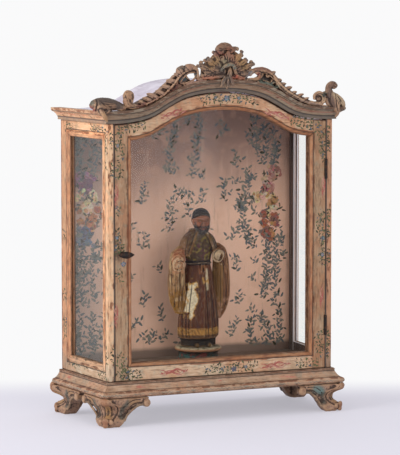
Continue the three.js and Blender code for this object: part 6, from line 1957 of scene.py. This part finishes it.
class SHRINE_OT_panel_vines(bpy.types.Operator):
    """Paint the back panel's leafy columns and its two bouquets"""

    bl_idname = "shrine.panel_vines"
    bl_label = "Panel vines"

    COLUMNS = [
        [(-11, 458), (-21, 424), (-25, 393), (-18, 358)], [(38, 466), (31, 423), (27, 385), (20, 350)],
        [(12, 470), (10, 450)], [(-45, 444), (-60, 425)], [(86, 457), (85, 428)], [(113, 398), (113, 368)],
        [(88, 345), (90, 304)], [(-12, 331), (8, 320), (24, 326)], [(-20, 314), (-26, 284), (-22, 252)],
        [(10, 300), (16, 276)], [(-79, 340), (-81, 304)], [(-100, 268), (-104, 252)], [(-73, 246), (-80, 218)],
        [(-76, 132), (-80, 108)], [(-108, 168), (-112, 150)], [(-46, 102), (-38, 80)], [(-59, 62), (-66, 36)],
        [(-34, 60), (-46, 40)], [(-95, 84), (-104, 66)], [(139, 366), (136, 318), (129, 273), (136, 247), (157, 212)],
        [(171, 450), (178, 413), (170, 372)], [(152, 462), (146, 436), (152, 410)],
        [(190, 440), (196, 400), (190, 362)], [(179, 240), (182, 200), (176, 150), (172, 112)],
        [(196, 232), (200, 180), (196, 130)], [(108, 246), (106, 228)], [(113, 200), (115, 168)],
        [(118, 128), (122, 104)], [(116, 78), (110, 52)], [(150, 78), (142, 50), (150, 26)],
        [(176, 70), (186, 40), (178, 20)], [(204, 96), (208, 50), (200, 20)], [(128, 300), (112, 286)],
        [(122, 344), (106, 336)], [(-150, 450), (-156, 410), (-148, 360)], [(-176, 458), (-182, 400), (-176, 352)],
        [(-204, 462), (-208, 410), (-200, 350)], [(-226, 450), (-230, 400), (-226, 340)],
        [(-150, 236), (-156, 190), (-150, 140)], [(-178, 232), (-184, 180), (-176, 120)],
        [(-206, 236), (-210, 180), (-204, 120)], [(-230, 230), (-232, 170), (-228, 100)],
        [(-152, 110), (-158, 70), (-150, 30)], [(-180, 100), (-186, 60), (-178, 24)],
        [(-208, 104), (-212, 60), (-204, 26)], [(-230, 84), (-232, 50), (-228, 24)],
    ]

    LOOSE = [
        (150, 216, 20, 220, 16), (150, 216, 366, 456, 9), (-216, -140, 20, 230, 14), (-216, -140, 350, 456, 12),
        (124, 160, 230, 350, 7), (-110, 140, 26, 450, 12),
    ]
    BOUNDS = (-217, 217, 20, 506)
    BOUQUET_Z, BOUQUET_HALF, BOUQUET_EDGE = 298, 68, 213

    def execute(self, context):
        sizes = context.scene.shrine_sizes
        colours = tints(context)
        rows = random.Random(11)
        stems = []
        loose = []
        for low, high, foot, top, count in self.LOOSE:
            for _ in range(count):
                u, v = rows.uniform(low, high), rows.uniform(foot, top)
                a, long = rows.uniform(0.9, 2.3), rows.uniform(9, 20)
                loose.append([(u + long * math.cos(a), v + long * math.sin(a)), (u, v)])
        for path in self.COLUMNS + loose:
            stems.extend(twigs(path[::-1], rows, 11, 12, 1, self.BOUNDS))
        lines = [[tuple(to_scene((u, PANEL_Y, v))) for u, v in stem] for stem in stems]
        paint = leaf_finish("vine_leaf_paint", colours["leaf"], colours["leaf_grey"], colours["leaf_dark"])
        vines = grow(
            spray_tree(), "panel_vines", lines, (0, -1, 0), paint, leaf_length=sizes.leaf_length,
            leaf_width=sizes.leaf_length * 0.42,
            spacing=sizes.leaf_pitch, lean=0.85, thickness=sizes.paint_lift * 2, stem_width=0.00028, seed=5,
        )
        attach(vines, "case")
        brush = Strokes((0, PANEL_Y, 0), (1, 0, 0), (0, 0, 1), (0, -1, 0), sizes.paint_lift)
        pinks = ("#b5766c", "#c99b85", "#a8625f", "#d2ae90")
        creams = ("#d8bd8f", "#cda36b", "#e0cba6", "#c08a58")
        embers = ("#b56f42", "#a5563f", "#8a5a55", "#c48a55")
        plums = ("#7d4463", "#94587a", "#a8788c", "#6b4560")
        slates = ("#4c5c74", "#64748a", "#59606f", "#7a7f88")
        for middle, bands in ((186, (embers, creams, pinks)), (-193, (slates, embers, creams, plums))):
            for k in range(46):
                t = (k + rows.uniform(0, 1)) / 46
                v = -self.BOUQUET_HALF + 2 * self.BOUQUET_HALF * t
                u = rows.gauss(0, 14) * (1 - abs(t - 0.5))
                palette = bands[min(int(t * len(bands) + rows.uniform(-0.3, 0.3)), len(bands) - 1)]
                size = rows.choice((5, 6.5, 8, 10, 12))
                outer, inner, count = rows.choice(palette), rows.choice(palette), rows.choice((5, 6, 7))
                brush.flower(middle + u, self.BOUQUET_Z + v, size, outer, inner, "#6d4a32", rows, count)
                for _ in range(3):
                    dark = colours[rows.choice(("leaf", "leaf_dark", "leaf_grey", "leaf_dark"))]
                    across = max(-self.BOUQUET_EDGE, min(self.BOUQUET_EDGE, middle + u * 1.4 + rows.gauss(0, 5)))
                    up = self.BOUQUET_Z + v + rows.gauss(0, 6)
                    brush.petal(across, up, rows.uniform(0, 6.28), 9, 3.2, dark)
        brush.finish("panel_bouquets", stroke_finish("bouquet_strokes"), "case", "back")
        return {"FINISHED"}


class SHRINE_OT_frame_motifs(bpy.types.Operator):
    """Paint the leaf sprays, ribbons and small flowers of the door, the posts and the side"""

    bl_idname = "shrine.frame_motifs"
    bl_label = "Frame motifs"

    DOOR = [
        [(-207, 456), (-202, 426), (-197, 404)], [(-207, 398), (-205, 366)],
        [(-202, 452), (-186, 460), (-166, 463), (-150, 470)], [(-208, 276), (-209, 250), (-203, 232)],
        [(-199, 250), (-198, 228)], [(-205, 204), (-208, 184)], [(-206, 48), (-195, 34), (-206, 14)],
        [(-204, 12), (-184, 10), (-158, 13)], [(-196, 24), (-180, 16)], [(-44, 507), (-18, 509), (6, 508)],
        [(12, 508), (38, 511), (68, 503)], [(139, 468), (160, 461), (182, 458), (198, 450)],
        [(200, 446), (206, 422), (209, 392)], [(206, 296), (203, 262), (208, 232)], [(209, 228), (206, 196)],
        [(202, 72), (199, 48), (208, 28)], [(-34, 11), (-6, 12), (22, 9)], [(28, 12), (52, 14), (72, 12)],
        [(152, 12), (176, 11), (196, 12)], [(-209, 320), (-206, 304)],
    ]
    POSTS = [
        [(219, 452), (220, 430), (218, 408)], [(219, 300), (218, 268), (220, 240)], [(218, 226), (220, 200)],
        [(219, 70), (217, 44), (220, 18)], [(-219, 452), (-218, 430)], [(-219, 60), (-218, 36)],
        [(-219, 392), (-218, 372)],
    ]
    SIDE = [
        [(8, 456), (7, 432), (9, 410)], [(8, 396), (7, 384)], [(178, 458), (158, 456), (140, 454)],
        [(70, 458), (48, 460), (22, 456)], [(179, 262), (180, 246)], [(180, 150), (179, 130)], [(179, 98), (181, 60)],
        [(162, 20), (140, 18), (124, 19)], [(40, 12), (24, 11), (9, 10)], [(7, 60), (8, 28)], [(100, 20), (84, 18)],
    ]
    FLOWERS = [
        (-196, 214, 5.5), (9, 509, 6.5), (-14, 511, 3.6), (34, 509, 3.6), (207, 245, 5), (206, 214, 4.2), (24, 10, 6),
        (48, 12, 3.8), (0, 11, 3.6), (-206, 428, 3.6), (-208, 262, 4),
    ]
    RIBBONS = [(-99, 482, 24, 0.28), (110, 478, 24, -0.3), (-98, 11, 26, 0), (108, 11, 28, 0.05)]

    def execute(self, context):
        sizes = context.scene.shrine_sizes
        self.colours = tints(context)
        rows = random.Random(23)
        tree = spray_tree()
        olive = leaf_finish("frame_leaf_paint", self.colours["leaf_dark"], self.colours["leaf_green"],
            self.colours["blue"], 0.6)
        small = {"leaf_length": sizes.leaf_length * 0.62, "leaf_width": sizes.leaf_length * 0.27,
            "spacing": sizes.leaf_pitch * 0.86, "lean": 0.9, "thickness": sizes.paint_lift * 2, "stem_width": 0.00025}
        wall = (math.sin(SPLAY), math.cos(SPLAY))

        def on_front(u, v):
            return to_scene((u, FACE_Y, v))

        def on_side(u, v):
            return to_scene((-HALF_FRONT - u * wall[0], FACE_Y + u * wall[1], v))

        for name, paths, where, face, body, bounds in (
            ("door_leaves", self.DOOR, on_front, (0, -1, 0), "door", (-208, 208, 5, 540)),
            ("left_post_leaves", [p for p in self.POSTS if p[0][0] < 0], on_front, (0, -1, 0), "case",
                (-218.6, -217.8, 8, 456)),
            ("right_post_leaves", [p for p in self.POSTS if p[0][0] > 0], on_front, (0, -1, 0), "case",
                (217.8, 218.6, 8, 456)),
            ("side_leaves", self.SIDE, on_side, (-math.cos(SPLAY), -math.sin(SPLAY), 0), "case", (7, 186, 6, 460)),
        ):
            stems = [stem for path in paths for stem in twigs(path, rows, 4.5, 7.5, 1.5, bounds, False)]
            lines = [[tuple(where(u, v)) for u, v in stem] for stem in stems]
            share = 0.78 if "post" in name else 1
            sized = {**small, "leaf_length": small["leaf_length"] * share}
            spray = grow(tree, name, lines, face, olive, seed=rows.randrange(99), **sized)
            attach(spray, body)
        brush = Strokes((0, FACE_Y, 0), (1, 0, 0), (0, 0, 1), (0, -1, 0), sizes.paint_lift)
        red, pink, blue = "#a35249", "#b87f70", self.colours["blue"]
        for u, v, long, slope in self.RIBBONS:
            for shift, rise, width, colour in ((0, 2.5, 2.6, red), (3, -2.5, 1.8, pink), (-4, 0.5, 1.5, red)):
                brush.ribbon([
                    (u + shift + t * long, v + rise + t * long * slope + 3.2 * math.sin(t * 5 + shift),
                        1.5 * width * (1 - 0.8 * abs(t)))
                    for t in np.linspace(-1, 1, 9)
                ], colour)
            for t in np.linspace(-0.95, 0.95, 12):
                rise, turn = rows.uniform(-3, 3), rows.uniform(-0.9, 0.9)
                colour = rows.choice((red, red, pink))
                brush.petal(u + t * long, v + t * long * slope + rise, math.atan(slope) + turn, 7, 2.6, colour)
        for u, v in ((-209, 339), (208, 341), (-210, 122), (205, 135)):
            for dv, width, colour in ((0, 3, red), (4, 2, pink), (-6, 2.2, red)):
                brush.ribbon([
                    (u + 3 * math.sin(t * 4 + dv), v + dv + t * 19, width * (1 - 0.75 * abs(t)))
                    for t in np.linspace(-1, 1, 9)
                ], colour)
        for u, v, size in self.FLOWERS:
            brush.flower(u, v, size, blue, "#7b878c", red, rows, 5)
        for _ in range(60):
            path = rows.choice(self.DOOR)
            u, v = path[rows.randrange(len(path))]
            u, v, turn = u + rows.uniform(-7, 7) * 0.6, v + rows.uniform(-7, 7) * 0.6, rows.uniform(0, 6)
            brush.petal(u, v, turn, 1.8, 1.4, rows.choice((blue, red, self.colours["leaf_dark"])))
        brush.finish("door_strokes", stroke_finish(), "door", "painted_frame")
        return {"FINISHED"}


class SHRINE_OT_stage(bpy.types.Operator):
    """Make the floor, the lamps and the camera"""

    bl_idname = "shrine.stage"
    bl_label = "Stage"

    def execute(self, context):
        scene = context.scene
        scene.view_settings.view_transform = "Standard"
        self.floor()
        self.lamps(context)
        self.world(scene)
        self.camera(scene)
        return {"FINISHED"}

    def floor(self):
        mesh = bpy.data.meshes.new("studio_floor")
        r = 6
        mesh.from_pydata([(-r, -r, 0), (r, -r, 0), (r, r, 0), (-r, r, 0)], [], [(0, 1, 2, 3)])
        floor = added("studio_floor", mesh)
        material, place = begin("studio_floor_paint")
        root = Term(material.node_tree)
        x, y, _ = place.split()
        depth = y * math.cos(CAMERA_TURN) - x * math.sin(CAMERA_TURN)
        far = (depth + place.noise(400, 2) * 60).ease(150, 430)
        pale = far.blend("#edebf5", BACKDROP_WHITE)
        lit = root.node("BsdfDiffuse", None, {"Color": (0.78, 0.765, 0.83, 1)})
        seen = root.node("Emission", None, {"Color": pale})
        path = root.node("LightPath").socket.node
        camera, glossy = [Term(material.node_tree, path.outputs[n]) for n in ("Is Camera Ray", "Is Glossy Ray")]
        rays = (camera + glossy).low(1)
        lightness = (far + (1 - far) * 0.46) * rays
        whole = root.node("MixShader", None, {0: lightness, 1: lit, 2: seen})
        root.node("OutputMaterial", None, {"Surface": whole})
        mesh.materials.append(material)

    def lamp(self, name, power, size, place, aim, colour=(1, 1, 1)):
        light = bpy.data.lights.new(name, "AREA")
        light.energy = power
        light.size = size
        light.color = colour
        lamp = added(name, light)
        lamp.location = place
        lamp.rotation_euler = (Vector(aim) - Vector(place)).to_track_quat("-Z", "Y").to_euler()

    def lamps(self, context):
        key = context.scene.shrine_sizes.key_power
        self.lamp("key_lamp", key * 1.9, 1.6, (-3, -0.55, 1.25), (0, 0, 0.3), (1, 0.985, 0.965))
        self.lamp("fill_lamp", key * 1, 2, (0.4, -3.2, 0.75), (0, 0, 0.3))
        self.lamp("top_lamp", key * 0.2, 2, (0.2, 0.6, 2.8), (0, 0, 0.2))

    def world(self, scene):
        world = bpy.data.worlds.new("studio_white")
        scene.world = world
        world.use_nodes = True
        world.node_tree.nodes.clear()
        root = Term(world.node_tree)
        path = root.node("LightPath").socket.node
        camera, glossy, through = [Term(world.node_tree, path.outputs[n]) for n in ("Is Camera Ray", "Is Glossy Ray",
            "Is Transmission Ray")]
        seen = (camera + glossy * 0.9 + through).low(1)
        ambient = root.node("Background", None, {"Color": (0.93, 0.94, 1, 1), "Strength": 0.62})
        white = root.node("Background", None, {"Color": (*BACKDROP_WHITE, 1), "Strength": 1})
        both = root.node("MixShader", None, {0: seen, 1: ambient, 2: white})
        root.node("OutputWorld", None, {"Surface": both})

    def camera(self, scene):
        data = bpy.data.cameras.new("photo_camera")
        camera = added("photo_camera", data)
        scene.camera = camera
        a, e, tx, tz, distance = CAMERA_TURN, math.radians(5.327), -0.593, 264.453, 4670.29
        focus, photo_height = 2500, 455
        back = Vector((math.sin(a) * math.cos(e), -math.cos(a) * math.cos(e), math.sin(e)))
        right = Vector((math.cos(a), math.sin(a), 0))
        up = back.cross(right)
        middle = Vector((tx * math.cos(a), tx * math.sin(a), tz))
        camera.location = spot(*(middle + back * distance))
        camera.rotation_euler = Matrix((right, up, back)).transposed().to_euler()
        data.sensor_width = 36
        data.lens = focus * data.sensor_width / photo_height
        data.clip_start = 0.1
        data.clip_end = 50


class SHRINE_PT_panel(bpy.types.Panel):
    """Lists the pieces of the shrine case"""

    bl_label = "Shrine case"
    bl_idname = "SHRINE_PT_panel"
    bl_space_type = "VIEW_3D"
    bl_region_type = "UI"
    bl_category = "Shrine case"

    def draw(self, context):
        for cls in OPERATORS:
            self.layout.operator(cls.bl_idname)
        for group in (context.scene.shrine_sizes, context.scene.shrine_colours):
            for name in group.__annotations__:
                self.layout.prop(group, name)


OPERATORS = [
    SHRINE_OT_frame_paint,
    SHRINE_OT_mouldings,
    SHRINE_OT_boards,
    SHRINE_OT_glazing,
    SHRINE_OT_ironwork,
    SHRINE_OT_crest,
    SHRINE_OT_feet,
    SHRINE_OT_figurine,
    SHRINE_OT_panel_vines,
    SHRINE_OT_frame_motifs,
    SHRINE_OT_stage,
]
CLASSES = [ShrineColours, ShrineSizes, *OPERATORS, SHRINE_PT_panel]


def register():
    for cls in CLASSES:
        bpy.utils.register_class(cls)
    bpy.types.Scene.shrine_colours = bpy.props.PointerProperty(type=ShrineColours)
    bpy.types.Scene.shrine_sizes = bpy.props.PointerProperty(type=ShrineSizes)


def unregister():
    del bpy.types.Scene.shrine_sizes
    del bpy.types.Scene.shrine_colours
    for cls in reversed(CLASSES):
        bpy.utils.unregister_class(cls)


def main():
    register()
    for cls in OPERATORS:
        group, name = cls.bl_idname.split(".")
        getattr(getattr(bpy.ops, group), name)()
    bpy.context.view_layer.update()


if __name__ == "__main__":
    main()
